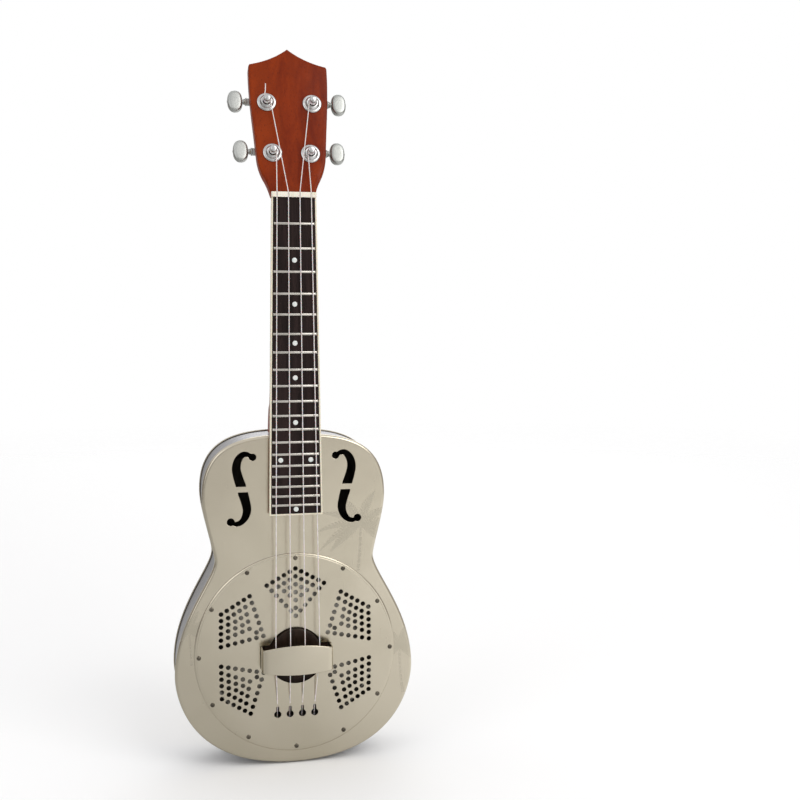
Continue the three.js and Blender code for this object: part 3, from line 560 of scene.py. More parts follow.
# Each leaf of a palm's crown: its direction in degrees above the horizon, and how far it droops.
PALM_LEAVES = (
    (14, 0.85), (34, 0.75), (58, 0.6), (84, 0.3), (104, -0.4),
    (128, -0.65), (150, -0.75), (170, -0.85), (200, -0.35), (-20, 0.35))
LEAFLETS = 15.0
LEAFLET_SLANT = 0.9


def palm_frond():
    """One leaf of unit length from the origin: leaflets slant off a spine that bends."""
    graph, given, result = new_group(
        "palm_frond", "ShaderNodeTree",
        [("X", "Float", 0.0), ("Z", "Float", 0.0), ("Turn", "Float", 0.0), ("Bend", "Float", 0.3)],
        [("Mask", "Float")])
    cosine, sine = (graph.maths(name, given["Turn"]) for name in ("COSINE", "SINE"))
    along = graph.maths(
        "ADD", graph.maths("MULTIPLY", given["X"], cosine), graph.maths("MULTIPLY", given["Z"], sine))
    across = graph.maths(
        "SUBTRACT", graph.maths("MULTIPLY", given["Z"], cosine), graph.maths("MULTIPLY", given["X"], sine))
    bow = graph.maths("MULTIPLY", graph.maths("MULTIPLY", along, along), given["Bend"])
    off = graph.maths("ABSOLUTE", graph.maths("ADD", across, bow))
    lens = graph.maths("MULTIPLY", along, graph.maths("SUBTRACT", 1.0, along))
    inside = graph.mapped(graph.maths("SUBTRACT", graph.maths("MULTIPLY", lens, 0.5), off), 0.0, 0.012)
    slanted = graph.maths("SUBTRACT", along, graph.maths("MULTIPLY", off, LEAFLET_SLANT))
    phase = graph.maths("FRACT", graph.maths("MULTIPLY", slanted, LEAFLETS))
    leaflets = graph.mapped(graph.maths("ABSOLUTE", graph.maths("SUBTRACT", phase, 0.5)), 0.38, 0.30)
    spine = graph.mapped(off, 0.022, 0.012)
    graph.feed(result["Mask"], graph.maths("MULTIPLY", inside, graph.maths("MAXIMUM", leaflets, spine)))
    return graph.tree


def palm_tree(frond):
    """A crown of drooping leaves on a ringed trunk that leans."""
    graph, given, result = new_group(
        "palm_tree", "ShaderNodeTree",
        [("Point", "Vector", None), ("Crown X", "Float", 0.0), ("Crown Z", "Float", 0.0),
         ("Size", "Float", 0.03), ("Lean", "Float", 0.04), ("Trunk", "Float", 4.0)],
        [("Mask", "Float")])
    place = graph.apart(given["Point"])
    x = graph.maths("DIVIDE", graph.maths("SUBTRACT", place["X"], given["Crown X"]), given["Size"])
    z = graph.maths("DIVIDE", graph.maths("SUBTRACT", place["Z"], given["Crown Z"]), given["Size"])
    mask = None
    for degrees, bend in PALM_LEAVES:
        leaf = graph.use(frond, X=x, Z=z, Turn=math.radians(degrees), Bend=bend)["Mask"]
        mask = leaf if mask is None else graph.maths("MAXIMUM", mask, leaf)
    middle = graph.maths("MULTIPLY", graph.maths("MULTIPLY", z, z), given["Lean"])
    half = graph.maths("SUBTRACT", 0.035, graph.maths("MULTIPLY", z, 0.014))
    off = graph.maths("ABSOLUTE", graph.maths("SUBTRACT", x, middle))
    trunk = graph.mapped(graph.maths("SUBTRACT", half, off), 0.0, 0.012)
    below = graph.mapped(z, 0.0, -0.02)
    above = graph.mapped(graph.maths("ADD", z, given["Trunk"]), 0.0, 0.02)
    rings = graph.mapped(graph.maths("FRACT", graph.maths("MULTIPLY", z, 7.0)), 0.12, 0.2)
    for limit in (below, above, rings):
        trunk = graph.maths("MULTIPLY", trunk, limit)
    graph.feed(result["Mask"], graph.maths("MAXIMUM", mask, trunk))
    return graph.tree


MARKS = handling_marks()
GRAIN = wood_grain()
PALM = palm_tree(palm_frond())


def new_material(name, **fixed):
    """A material with one Principled shader, its even values set on the shader's own sockets."""
    made = bpy.data.materials.new(name)
    made.use_nodes = True
    made.node_tree.nodes.clear()
    graph = Graph(made.node_tree)
    shader = graph.node("ShaderNodeBsdfPrincipled")
    graph.feed(graph.node("ShaderNodeOutputMaterial").inputs["Surface"], shader.outputs[0])
    for label, value in fixed.items():
        shader.inputs[label.replace("_", " ")].default_value = value
    where = graph.node("ShaderNodeTexCoord").outputs["Object"]
    return made, graph, shader.inputs, where


def bump(graph, shader, height, distance, strength=1.0):
    """Feeds a height to the shader as fine relief."""
    made = graph.node("ShaderNodeBump")
    graph.feed(made.inputs["Height"], height)
    graph.feed(made.inputs["Distance"], distance)
    graph.feed(made.inputs["Strength"], strength)
    graph.feed(shader["Normal"], made.outputs["Normal"])


HORIZON = -0.400
BEACH = -0.432


def sea_and_hills(graph, where):
    """Broken wave lines, a shore and low hills across the lower part of a plate."""
    place = graph.apart(where)
    ripple = graph.maths(
        "ADD", graph.maths("MULTIPLY", place["Z"], 1450.0),
        graph.maths("MULTIPLY", graph.noise(graph.stretched(where, (1, 0, 1)), 45.0, 2.0), 5.0))
    crests = graph.mapped(graph.maths("SINE", ripple), 0.35, 0.6)
    broken = graph.mapped(graph.noise(graph.stretched(where, (0.5, 0, 3.0)), 60.0, 2.0), 0.46, 0.54)
    sea = graph.maths("MULTIPLY", crests, broken)
    sea = graph.maths("MULTIPLY", sea, graph.mapped(place["Z"], HORIZON + 0.001, HORIZON - 0.002))
    sea = graph.maths("MULTIPLY", sea, graph.mapped(place["Z"], BEACH, BEACH + 0.004))
    ridge = graph.maths(
        "ADD", graph.maths("MULTIPLY", graph.maths("SINE", graph.maths("MULTIPLY", place["X"], 75.0)), 0.006),
        graph.maths("MULTIPLY", graph.maths("SINE", graph.maths("MULTIPLY", place["X"], 190.0)), 0.002))
    height = graph.maths("SUBTRACT", graph.maths("ADD", ridge, -0.393), place["Z"])
    above = graph.mapped(place["Z"], HORIZON, HORIZON + 0.001)
    hills = graph.maths("MULTIPLY", graph.mapped(height, 0.0, 0.0006), above)
    shore_line = graph.maths("ADD", graph.maths("MULTIPLY", graph.noise(
        graph.stretched(where, (1, 0, 0)), 22.0, 2.0), 0.02), -0.447)
    shore = graph.mapped(graph.maths("SUBTRACT", shore_line, place["Z"]), 0.0, 0.0006)
    return graph.maths("MAXIMUM", sea, graph.maths("MAXIMUM", hills, shore))


def nickel_plate(name, palms=(), shore=False, within=None, strength=0.5):
    """Warm mirror nickel, with any etching left satin."""
    made, graph, shader, where = new_material(name, Metallic=1.0, IOR=1.8)
    marks = graph.use(MARKS, Point=where, Smudge_Scale=16.0, Hairline_Scale=300.0)
    etched = sea_and_hills(graph, where) if shore else None
    for crown_x, crown_z, size, lean, trunk in palms:
        palm = graph.use(
            PALM, Point=where, Crown_X=crown_x * MM, Crown_Z=crown_z * MM, Size=size * MM, Lean=lean,
            Trunk=trunk)["Mask"]
        etched = palm if etched is None else graph.maths("MAXIMUM", etched, palm)
    cloud = graph.noise(where, 9.0, 3.0, 0.5, 0.4)
    tone = graph.mixed(graph.mapped(cloud, 0.3, 0.7), (0.56, 0.51, 0.405, 1), (0.61, 0.556, 0.45, 1))
    tone = graph.mixed(graph.maths("MULTIPLY", marks["Smudges"], 0.25), tone, (0.515, 0.467, 0.372, 1))
    rough = graph.maths("MULTIPLY_ADD", marks["Smudges"], 0.06, 0.2)
    rough = graph.maths("MULTIPLY_ADD", marks["Hairlines"], 0.05, rough)
    wave = graph.noise(where, 14.0, 2.0, 0.4, 0.3)
    if etched is not None:
        if within is not None:
            etched = graph.maths("MULTIPLY", etched, within(graph, where))
        tone = graph.mixed(graph.maths("MULTIPLY", etched, strength), tone, (0.40, 0.375, 0.305, 1))
        rough = graph.maths("MULTIPLY_ADD", etched, 0.4 * strength, rough)
        frost = graph.maths("MULTIPLY", etched, graph.noise(where, 2600.0, 2.0))
        wave = graph.maths("MULTIPLY_ADD", frost, 0.04, wave)
    graph.feed(shader["Base Color"], tone)
    graph.feed(shader["Roughness"], rough)
    bump(graph, shader, wave, 0.0006)
    return made


def brushed_nickel():
    """Satin plate brushed along the band; the piece's own attribute runs round it."""
    made, graph, shader, where = new_material("brushed_nickel", Metallic=1.0)
    around = graph.node("ShaderNodeAttribute", attribute_name="around").outputs["Fac"]
    place = graph.apart(where)
    lines = graph.noise(graph.together(graph.maths("MULTIPLY", around, 22.0),
                                       graph.maths("MULTIPLY", place["Y"], 1500.0)), 1.0, 4.0, 0.7)
    streaks = graph.noise(graph.together(graph.maths("MULTIPLY", around, 260.0),
                                         graph.maths("MULTIPLY", place["Y"], 420.0)), 1.0, 3.0, 0.6, 0.8)
    marks = graph.use(MARKS, Point=where, Smudge_Scale=30.0, Hairline_Scale=200.0)
    shine = graph.mapped(lines, 0.3, 0.7)
    tone = graph.mixed(shine, (0.30, 0.30, 0.315, 1), (0.50, 0.50, 0.515, 1))
    tone = graph.mixed(graph.mapped(streaks, 0.5, 0.7, 0.0, 0.5), tone, (0.62, 0.62, 0.63, 1))
    graph.feed(shader["Base Color"], tone)
    rough = graph.mapped(lines, 0.2, 0.8, 0.42, 0.3)
    graph.feed(shader["Roughness"], graph.maths("MULTIPLY_ADD", marks["Smudges"], 0.1, rough))
    bump(graph, shader, graph.maths("ADD", lines, streaks), 0.00012, 0.6)
    return made


def bright_metal(name, dark, light, roughness, haze=0.06, grain=0.0, scale=40.0):
    """Polished or satin metal with faint clouds, handling marks and any cast grain."""
    made, graph, shader, where = new_material(name, Metallic=1.0)
    marks = graph.use(MARKS, Point=where, Smudge_Scale=scale * 2, Hairline_Scale=900.0)
    cloud = graph.mapped(graph.noise(where, scale, 3.0), 0.3, 0.7)
    graph.feed(shader["Base Color"], graph.mixed(cloud, (*dark, 1), (*light, 1)))
    rough = graph.maths("MULTIPLY_ADD", marks["Smudges"], haze, roughness)
    graph.feed(shader["Roughness"], graph.maths("MULTIPLY_ADD", marks["Hairlines"], haze, rough))
    if grain:
        bump(graph, shader, graph.noise(where, 1800.0, 3.0, 0.6), grain, 0.5)
    return made


def spun_aluminium():
    """Spun sheet, with fine rings round the cone's axis."""
    made, graph, shader, where = new_material("spun_aluminium", Metallic=1.0)
    place = graph.apart(where)
    z = graph.maths("SUBTRACT", place["Z"], CONE_Z * MM)
    radius = graph.maths("SQRT", graph.maths(
        "ADD", graph.maths("MULTIPLY", place["X"], place["X"]), graph.maths("MULTIPLY", z, z)))
    rings = graph.noise(graph.together(graph.maths("MULTIPLY", radius, 2400.0)), 1.0, 3.0, 0.6)
    graph.feed(shader["Base Color"], graph.mixed(
        graph.mapped(rings, 0.3, 0.7), (0.42, 0.40, 0.37, 1), (0.58, 0.56, 0.52, 1)))
    graph.feed(shader["Roughness"], graph.mapped(rings, 0.2, 0.8, 0.42, 0.3))
    bump(graph, shader, rings, 0.0002, 0.5)
    return made


def lacquered_mahogany():
    """Reddish brown wood under a gloss coat."""
    made, graph, shader, where = new_material(
        "lacquered_mahogany", Coat_Weight=0.08, Coat_Roughness=0.1, Specular_IOR_Level=0.06)
    grain = graph.use(GRAIN, Point=where, Across=85.0, Pore_Scale=1500.0)
    tone = graph.mixed(grain["Figure"], (0.135, 0.0115, 0.0012, 1), (0.235, 0.027, 0.0022, 1))
    tone = graph.mixed(graph.maths("MULTIPLY", grain["Bands"], 0.5), tone, (0.27, 0.037, 0.003, 1))
    tone = graph.mixed(graph.maths("MULTIPLY", grain["Pores"], 0.55), tone, (0.075, 0.009, 0.0015, 1))
    graph.feed(shader["Base Color"], tone)
    graph.feed(shader["Roughness"], graph.maths("MULTIPLY_ADD", grain["Pores"], 0.2, 0.36))
    bump(graph, shader, graph.maths("MULTIPLY", grain["Pores"], -1.0), 0.00008, 0.5)
    return made


def oiled_rosewood(name, dark, light):
    """Open-grained dark wood without a coat."""
    made, graph, shader, where = new_material(name, Specular_IOR_Level=0.12)
    grain = graph.use(GRAIN, Point=where, Across=150.0, Pore_Scale=1700.0)
    tone = graph.mixed(grain["Figure"], (*dark, 1), (*light, 1))
    shade_of_pores = (*(0.35 * part for part in dark), 1)
    tone = graph.mixed(graph.maths("MULTIPLY", grain["Pores"], 0.8), tone, shade_of_pores)
    graph.feed(shader["Base Color"], tone)
    graph.feed(shader["Roughness"], graph.maths("MULTIPLY_ADD", grain["Pores"], 0.3, 0.44))
    bump(graph, shader, graph.maths("MULTIPLY", grain["Pores"], -1.0), 0.0002, 0.7)
    return made


def ivory(name, light, dark, roughness):
    """Bone or cream plastic: faint clouds and fine lines along its length."""
    made, graph, shader, where = new_material(name, Subsurface_Weight=0.08, Subsurface_Scale=0.002)
    cloud = graph.mapped(graph.noise(where, 120.0, 4.0, 0.6), 0.35, 0.7)
    fibre = graph.mapped(graph.noise(graph.stretched(where, (1, 1, 0.05)), 1400.0, 2.0), 0.55, 0.75)
    tone = graph.mixed(cloud, (*light, 1), (*dark, 1))
    tone = graph.mixed(graph.maths("MULTIPLY", fibre, 0.25), tone, (0.52, 0.44, 0.30, 1))
    graph.feed(shader["Base Color"], tone)
    graph.feed(shader["Roughness"], graph.maths("MULTIPLY_ADD", cloud, 0.1, roughness))
    bump(graph, shader, fibre, 0.00003, 0.4)
    return made


def pearl():
    """Shell with drifting pale colours under a polish."""
    made, graph, shader, where = new_material("pearl", Coat_Weight=0.5, Coat_Roughness=0.08)
    drift = graph.noise(where, 420.0, 4.0, 0.6, 2.2)
    cool = graph.mixed(graph.mapped(drift, 0.35, 0.62), (0.80, 0.80, 0.76, 1), (0.62, 0.72, 0.70, 1))
    glow = graph.noise(graph.stretched(where, (1, 1, 1), (0.2, 0, 0.1)), 700.0, 3.0, 0.6, 1.5)
    graph.feed(shader["Base Color"], graph.mixed(graph.mapped(glow, 0.5, 0.7), cool, (0.86, 0.74, 0.72, 1)))
    graph.feed(shader["Roughness"], graph.mapped(drift, 0.3, 0.7, 0.16, 0.34))
    return made


def nylon():
    """Milky string, faintly uneven along its length."""
    made, graph, shader, where = new_material(
        "clear_nylon", Subsurface_Weight=0.15, Subsurface_Scale=0.001, Specular_IOR_Level=0.6)
    uneven = graph.mapped(graph.noise(where, 300.0, 3.0), 0.3, 0.7)
    graph.feed(shader["Base Color"], graph.mixed(uneven, (0.66, 0.61, 0.60, 1), (0.76, 0.71, 0.70, 1)))
    graph.feed(shader["Roughness"], graph.mapped(uneven, 0.0, 1.0, 0.22, 0.34))
    return made


def paper_white():
    """Matt pale paper that thins out a few metres away; in mirror reflections it turns a grey that darkens to
    the left, painted shade for the reflecting plates.
    """
    made, graph, shader, where = new_material("studio_floor", Roughness=0.9, Specular_IOR_Level=0.1)
    cloud = graph.mapped(graph.noise(where, 0.8, 2.0), 0.3, 0.7)
    graph.feed(shader["Base Color"], graph.mixed(cloud, (0.90, 0.90, 0.895, 1), (0.92, 0.92, 0.915, 1)))
    place = graph.apart(where)
    across, deep = (graph.maths("MULTIPLY", place[axis], place[axis]) for axis in ("X", "Y"))
    reach = graph.maths("SQRT", graph.maths("ADD", across, deep))
    thin = graph.mapped(reach, 0.6, 3.2, 1.0, 0.0)
    graph.feed(shader["Alpha"], thin)
    paper = shader["Alpha"].node
    output = paper.outputs[0].links[0].to_node
    reflection_shade = graph.node("ShaderNodeBsdfPrincipled")
    reflection_shade.inputs["Roughness"].default_value = 0.9
    reflection_shade.inputs["Specular IOR Level"].default_value = 0.1
    # painted shade: this grey, darker to the left, is seen only in mirror reflections
    grey = graph.mixed(graph.mapped(place["X"], -0.32, 0.34), (0.50, 0.50, 0.49, 1), (0.94, 0.94, 0.93, 1))
    graph.feed(reflection_shade.inputs["Base Color"], grey)
    graph.feed(reflection_shade.inputs["Alpha"], thin)
    either = graph.node("ShaderNodeMixShader")
    graph.feed(either.inputs[0], graph.node("ShaderNodeLightPath").outputs["Is Glossy Ray"])
    graph.feed(either.inputs[1], paper.outputs[0])
    graph.feed(either.inputs[2], reflection_shade.outputs[0])
    graph.feed(output.inputs["Surface"], either.outputs[0])
    return made


def on_back_panel(graph, where):
    """1 on the raised panel, fading out before its slope."""
    place = graph.apart(where)
    panel_y = (BACK_Y + PANEL_RISE - 0.4) * MM
    return graph.mapped(place["Y"], panel_y, panel_y + 0.0003)


FRONT_PALMS = ((56, -284, 32, -0.05, 1.2), (90, -392, 26, 0.05, 1.5), (-88, -368, 20, 0.03, 1.4))
BACK_PALMS = ((-20, -276, 36, -0.045, 4.6), (-36, -334, 26, 0.05, 4.0), (44, -350, 15, -0.08, 3.4))

FINISH = {
    "front": nickel_plate("nickel_front_plate", FRONT_PALMS, strength=0.3),
    "back": nickel_plate("nickel_back_plate", BACK_PALMS, True, on_back_panel),
    "nickel": nickel_plate("nickel_plate"),
    # near-black metal for the faces inside the body: painted shade, standing for the dark inside
    "inside": bright_metal("painted_shade_inside", (0.05, 0.045, 0.038), (0.09, 0.082, 0.07), 0.5, 0.1),
    # a dark copy of the nickel for the screws: painted shade, so they read as dark dots
    "screws": bright_metal("shaded_screw_nickel", (0.10, 0.088, 0.07), (0.17, 0.15, 0.12), 0.14, 0.06),
    "side": brushed_nickel(),
    "cone": spun_aluminium(),
    "chrome": bright_metal("chrome", (0.50, 0.50, 0.495), (0.60, 0.60, 0.595), 0.1, 0.05),
    "satin": bright_metal("satin_chrome", (0.38, 0.39, 0.37), (0.48, 0.49, 0.47), 0.34, 0.08, 0.00006),
    "frets": bright_metal("fret_wire", (0.52, 0.49, 0.44), (0.64, 0.61, 0.56), 0.22, 0.1),
    "brass": bright_metal("gear_brass", (0.50, 0.33, 0.12), (0.66, 0.47, 0.20), 0.24, 0.12, 0.00005),
    "mahogany": lacquered_mahogany(),
    "rosewood": oiled_rosewood("oiled_rosewood", (0.011, 0.006, 0.0055), (0.027, 0.015, 0.0135)),
    # a very dark tone for the maple biscuit
    "maple": oiled_rosewood("dark_maple_tone", (0.012, 0.0065, 0.004), (0.026, 0.014, 0.009)),
    "binding": ivory("ivory_binding", (0.80, 0.74, 0.60), (0.74, 0.67, 0.52), 0.24),
    "bone": ivory("bone", (0.84, 0.80, 0.69), (0.78, 0.73, 0.60), 0.32),
    "pearl": pearl(),
    "nylon": nylon(),
}


# ---------- body ----------
def roll_section(face, inwards):
    """(inset, depth) points from the flat face round the rolled edge and back along the inside."""
    steps = 8
    section = []
    for i in range(steps + 1):
        angle = math.pi / 2 * i / steps
        section.append((ROLL_RADIUS * (1 - math.sin(angle)), ROLL_RADIUS * (1 - math.cos(angle))))
    section.extend([(0, SKIRT - 0.3), (0.3, SKIRT), (SHEET - 0.3, SKIRT), (SHEET, SKIRT - 0.3)])
    inner = ROLL_RADIUS - SHEET
    for i in range(steps, -1, -2):
        angle = math.pi / 2 * i / steps
        section.append((ROLL_RADIUS - inner * math.sin(angle), ROLL_RADIUS - inner * math.cos(angle)))
    return [(inset, face + inwards * depth) for inset, depth in section]


def hole_lip(skin, loop, face, back, radius):
    """The wall of a hole with a rounded front edge; returns its front and back rings."""
    steps = 3
    rings = []
    for i in range(steps + 1):
        angle = math.pi / 2 * i / steps
        wider = grown(loop, radius * (1 - math.sin(angle)))
        rings.append(skin.ring(at_depth(wider, face + radius * (1 - math.cos(angle)))))
    rings.append(skin.ring(at_depth(loop, back)))
    skin.bands(rings)
    return rings[0], rings[-1]


def sound_hole(stations, ball, side):
    """The loop of one band that ends in a ball, on either side of the body."""
    line = [(side * x, NUT_Z - below, half) for x, below, half in smoothed(stations, 5)]
    left, right = [], []
    for i, (x, z, half) in enumerate(line):
        before, after = line[max(i - 1, 0)], line[min(i + 1, len(line) - 1)]
        across = Vector((before[1] - after[1], after[0] - before[0])).normalized() * half
        if i == 0:
            across.y = 0  # the bridge between the two parts is level
        left.append((x + across.x, z + across.y))
        right.append((x - across.x, z - across.y))
    centre_x, centre_z, radius = side * ball[0], NUT_Z - ball[1], ball[2]
    start, end = (math.atan2(z - centre_z, x - centre_x) for x, z in (left[-1], right[-1]))
    sweep = (end - start) % (2 * math.pi)
    if sweep < math.pi:
        sweep -= 2 * math.pi
    steps = 20
    arc = [start + sweep * i / steps for i in range(1, steps)]
    round_end = [(centre_x + radius * math.cos(turn), centre_z + radius * math.sin(turn)) for turn in arc]
    return filleted([*left, *round_end, *reversed(right)], 0.5, 2, closed=True)


def paint_inside_shade(piece, looks_inwards):
    """Gives the faces that look into the body a near-black finish, painted shade for the dark inside of the
    body.
    """
    piece.data.materials.append(FINISH["inside"])
    for face in piece.data.polygons:
        if looks_inwards(face):
            face.material_index = 1


def front_plate():
    """A rolled edge round a flat plate with four sound holes and the hole for the well."""
    skin = Skin()
    edge = [skin.ring(at_depth(body_outline(inset), y)) for inset, y in roll_section(FRONT_Y, 1)]
    skin.bands(edge)
    flat = skin.ring(at_depth(body_outline(ROLL_RADIUS + 0.5), FRONT_Y))
    skin.band(edge[0], flat)
    loops = [sound_hole(band, ball, side) for side in (-1, 1) for band, ball in SOUND_HOLE]
    loops.append(circle(WELL_RADIUS + 1, 0, CONE_Z, 96))
    lips = [hole_lip(skin, loop, FRONT_Y, FRONT_Y + SHEET, 0.35) for loop in loops]
    skin.fill([flat, *[front for front, _ in lips]])
    skin.fill([edge[-1], *[back for _, back in lips]])
    plate = even_normals(mesh_object("front_plate", skin, FINISH["front"]))
    # the plate's inward faces take the near-black painted shade
    paint_inside_shade(plate, lambda face: face.normal.y > 0.5 and face.center.y < (FRONT_Y + 1.2 * SHEET) * MM)
    return belongs(plate, "body", "nickel_plate", "top_plate")


def back_plate():
    """A flat rim, a slope with soft shoulders and a raised flat panel."""
    skin = Skin()
    edge = roll_section(BACK_Y, -1)
    slope = []
    steps = 10
    for i in range(steps + 1):
        share = i / steps
        rise = PANEL_RISE * share * share * (3 - 2 * share)
        slope.append((PANEL_RIM + PANEL_SLOPE * share, BACK_Y + rise))
    last_inset = slope[-1][0]
    outside = [*reversed(edge), (ROLL_RADIUS + 0.5, BACK_Y), (PANEL_RIM - 0.5, BACK_Y), *slope,
               (last_inset + 0.6, BACK_Y + PANEL_RISE)]
    inside = [(inset, y - SHEET) for inset, y in reversed(slope)]
    rings = [skin.ring(at_depth(body_outline(inset), y)) for inset, y in outside]
    behind = [skin.ring(at_depth(body_outline(inset), y)) for inset, y in inside]
    skin.bands(rings)
    skin.bands([*behind, rings[0]])
    skin.fill([rings[-1]])
    skin.fill([behind[0]])
    plate = even_normals(mesh_object("rear_plate", skin, FINISH["back"]))
    # the plate's inward faces take the near-black painted shade
    paint_inside_shade(plate, lambda face: face.normal.y < -0.5 and face.center.y > (BACK_Y - 1.2 * SHEET) * MM)
    return belongs(plate, "body", "nickel_plate", "back_plate")


def side_band():
    """The band between the plates, with a hole for the neck's stick."""
    skin = Skin()
    inset = SHEET + GAP
    front, back = FRONT_Y + SHEET + GAP, BACK_Y - SHEET - GAP
    corners = ((inset, front), (inset, back), (inset + SHEET, back), (inset + SHEET, front))
    outline = body_outline(inset)
    rings = [skin.ring(at_depth(body_outline(i), y)) for i, y in corners]
    skin.bands(rings, joined=True)
    band = mesh_object("side_wall", skin, FINISH["side"])
    cut = Skin()
    hole = STICK_HALF + GAP
    top = NUT_Z - BODY_TOP
    slab(cut, [(-hole, top - 6), (hole, top - 6), (hole, top + 2), (-hole, top + 2)],
         STICK_FRONT - GAP, STICK_FRONT + 2 * STICK_HALF + GAP)
    cutter = mesh_object("stick_hole", cut, FINISH["side"])
    subtract(band, cutter)
    lengths = [0.0]
    for a, b in zip(outline, outline[1:]):
        lengths.append(lengths[-1] + math.dist(a, b))
    around = band.data.attributes.new("around", "FLOAT", "POINT")
    for vertex, value in zip(band.data.vertices, around.data):
        place = (vertex.co.x / MM, vertex.co.z / MM)
        nearest = min(range(len(outline)), key=lambda i: math.dist(outline[i], place))
        value.value = lengths[nearest] * MM
    inner = body_outline(inset + SHEET + 0.5)

    def looks_inwards(face):
        ahead = (face.center + face.normal * 3 * MM) / MM
        return encloses(inner, Vector((ahead.x, ahead.z)))

    # the band's inward faces take the near-black painted shade
    paint_inside_shade(band, looks_inwards)
    return belongs(band, "body", "brushed_nickel", "side_band")


def subtract(piece, cutter):
    """Cuts one mesh out of another and removes the cutter."""
    cut = piece.modifiers.new("cut", "BOOLEAN")
    cut.operation = "DIFFERENCE"
    cut.solver = "EXACT"
    cut.object = cutter
    settle(piece)
    bpy.data.objects.remove(cutter)


# ---------- resonator ----------
def cone_well():
    """A turned pan that hangs under the front plate and carries the rim of the cone; it takes the near-black
    finish, painted shade for the dark inside of the body.
    """
    skin = Skin()
    under = FRONT_Y + SHEET + GAP
    floor = FRONT_Y + WELL_DEPTH
    inner = WELL_RADIUS - WELL_LEDGE
    profile = filleted([
        (WELL_FLANGE, under), (WELL_FLANGE, under + SHEET), (WELL_RADIUS + SHEET, under + SHEET),
        (WELL_RADIUS + SHEET, floor + SHEET), (inner, floor + SHEET), (inner, floor), (WELL_RADIUS, floor),
        (WELL_RADIUS, under)], 0.8, 3, closed=True)
    turn(skin, profile, centre=(0, 0, CONE_Z), sides=128, closed=True)
    return belongs(mesh_object("resonator_well", skin, FINISH["inside"]), "body", "nickel_plate", "cone_well")


def cone():
    """Spun cone: a flat rim, a rolled shoulder, a curved wall with spun ridges and a flat top."""
    rim_y = FRONT_Y + WELL_DEPTH - GAP
    wall = smoothed(
        [(CONE_RIM, 0), (70, 0), (58, -7), (40, -14.5), (25, -19.4), (CONE_TOP, -CONE_HEIGHT)], 12)
    ridged = []
    for radius, y in wall:
        ridge = 0.22 * math.sin(radius * 1.9) if 22 < radius < 66 else 0
        ridged.append((radius, rim_y + y + ridge))
    outside = [(radius, y - CONE_SHEET) for radius, y in ridged]
    profile = [(0, ridged[-1][1] - CONE_SHEET), *reversed(outside), *ridged, (0, ridged[-1][1])]
    skin = Skin()
    turn(skin, profile, centre=(0, 0, CONE_Z), sides=128)
    return belongs(mesh_object("spun_cone", skin, FINISH["cone"]), "body", "spun_aluminium", "resonator_cone")


BISCUIT_BACK = FRONT_Y + WELL_DEPTH - CONE_HEIGHT - CONE_SHEET - 2 * GAP
BISCUIT_FRONT = BISCUIT_BACK - BISCUIT_THICKNESS
SADDLE_TOP = BOARD_Y - STRING_RISE_AT_SADDLE + STRING_RADIUS + GAP
SADDLE_SEAT = 4.0


def biscuit():
    """Slotted wooden disc on a thin wider brim, which lies over the cone behind the cover plate; the dark
    brim is painted shade that fills the opening round the disc.
    """
    skin = Skin()
    # the brim, named foot here, is a dark sheet of painted shade
    foot = BISCUIT_BACK - SHADE_BRIM_THICKNESS
    profile = filleted([
        (0, BISCUIT_FRONT), (BISCUIT_RADIUS, BISCUIT_FRONT), (BISCUIT_RADIUS, foot), (SHADE_BRIM_RADIUS, foot),
        (SHADE_BRIM_RADIUS, BISCUIT_BACK), (0, BISCUIT_BACK)], 1.5, 4)
    turn(skin, profile, centre=(0, 0, CONE_Z), sides=72)
    disc = mesh_object("biscuit_disc", skin, FINISH["maple"])
    cut = Skin()
    half = SADDLE_THICKNESS / 2 + GAP
    slab(cut, [(-30, CONE_Z - half), (30, CONE_Z - half), (30, CONE_Z + half), (-30, CONE_Z + half)],
         BISCUIT_FRONT - 2, BISCUIT_FRONT + SADDLE_SEAT)
    subtract(disc, mesh_object("saddle_slot", cut, FINISH["maple"]))
    return belongs(disc, "body", "biscuit_maple", "biscuit")


def blade(name, outline, z0, z1, finish, rounding):
    """A slab whose outline is in X and Y, from z0 up to z1, with rounded edges."""
    skin = Skin()
    slab(skin, outline, -z1, -z0, rounding, rounding)
    turn_up = Matrix(((1, 0, 0, 0), (0, 0, 1, 0), (0, -1, 0, 0), (0, 0, 0, 1)))
    return mesh_object(name, skin, finish, turn_up)


def string_x(index, spacing):
    """How far a string is from the middle line, at the nut, the saddle or the tail."""
    return (1.5 - index) * STRING_SPACING[spacing]


def saddle():
    """A blade seated in the biscuit, its top notched for the strings."""
    half = SADDLE_WIDTH / 2
    seat = BISCUIT_FRONT + SADDLE_SEAT - GAP
    wing = BISCUIT_FRONT - 1.5
    foot = 18.5
    top = [(half - 2, SADDLE_TOP)]
    for index in range(4):
        x = string_x(index, "saddle")
        notch = [(x + 0.7, SADDLE_TOP), (x + 0.4, SADDLE_TOP + 0.35), (x - 0.4, SADDLE_TOP + 0.35),
                 (x - 0.7, SADDLE_TOP)]
        top.extend(notch)
    top.append((2 - half, SADDLE_TOP))
    outline = [(-foot, seat), (foot, seat), (foot, wing), (half, wing), *top, (-half, wing), (-foot, wing)]
    made = blade("saddle_blade", outline, CONE_Z - SADDLE_THICKNESS / 2, CONE_Z + SADDLE_THICKNESS / 2,
                 FINISH["bone"], 0.2)
    return belongs(made, "body", "bone", "saddle")


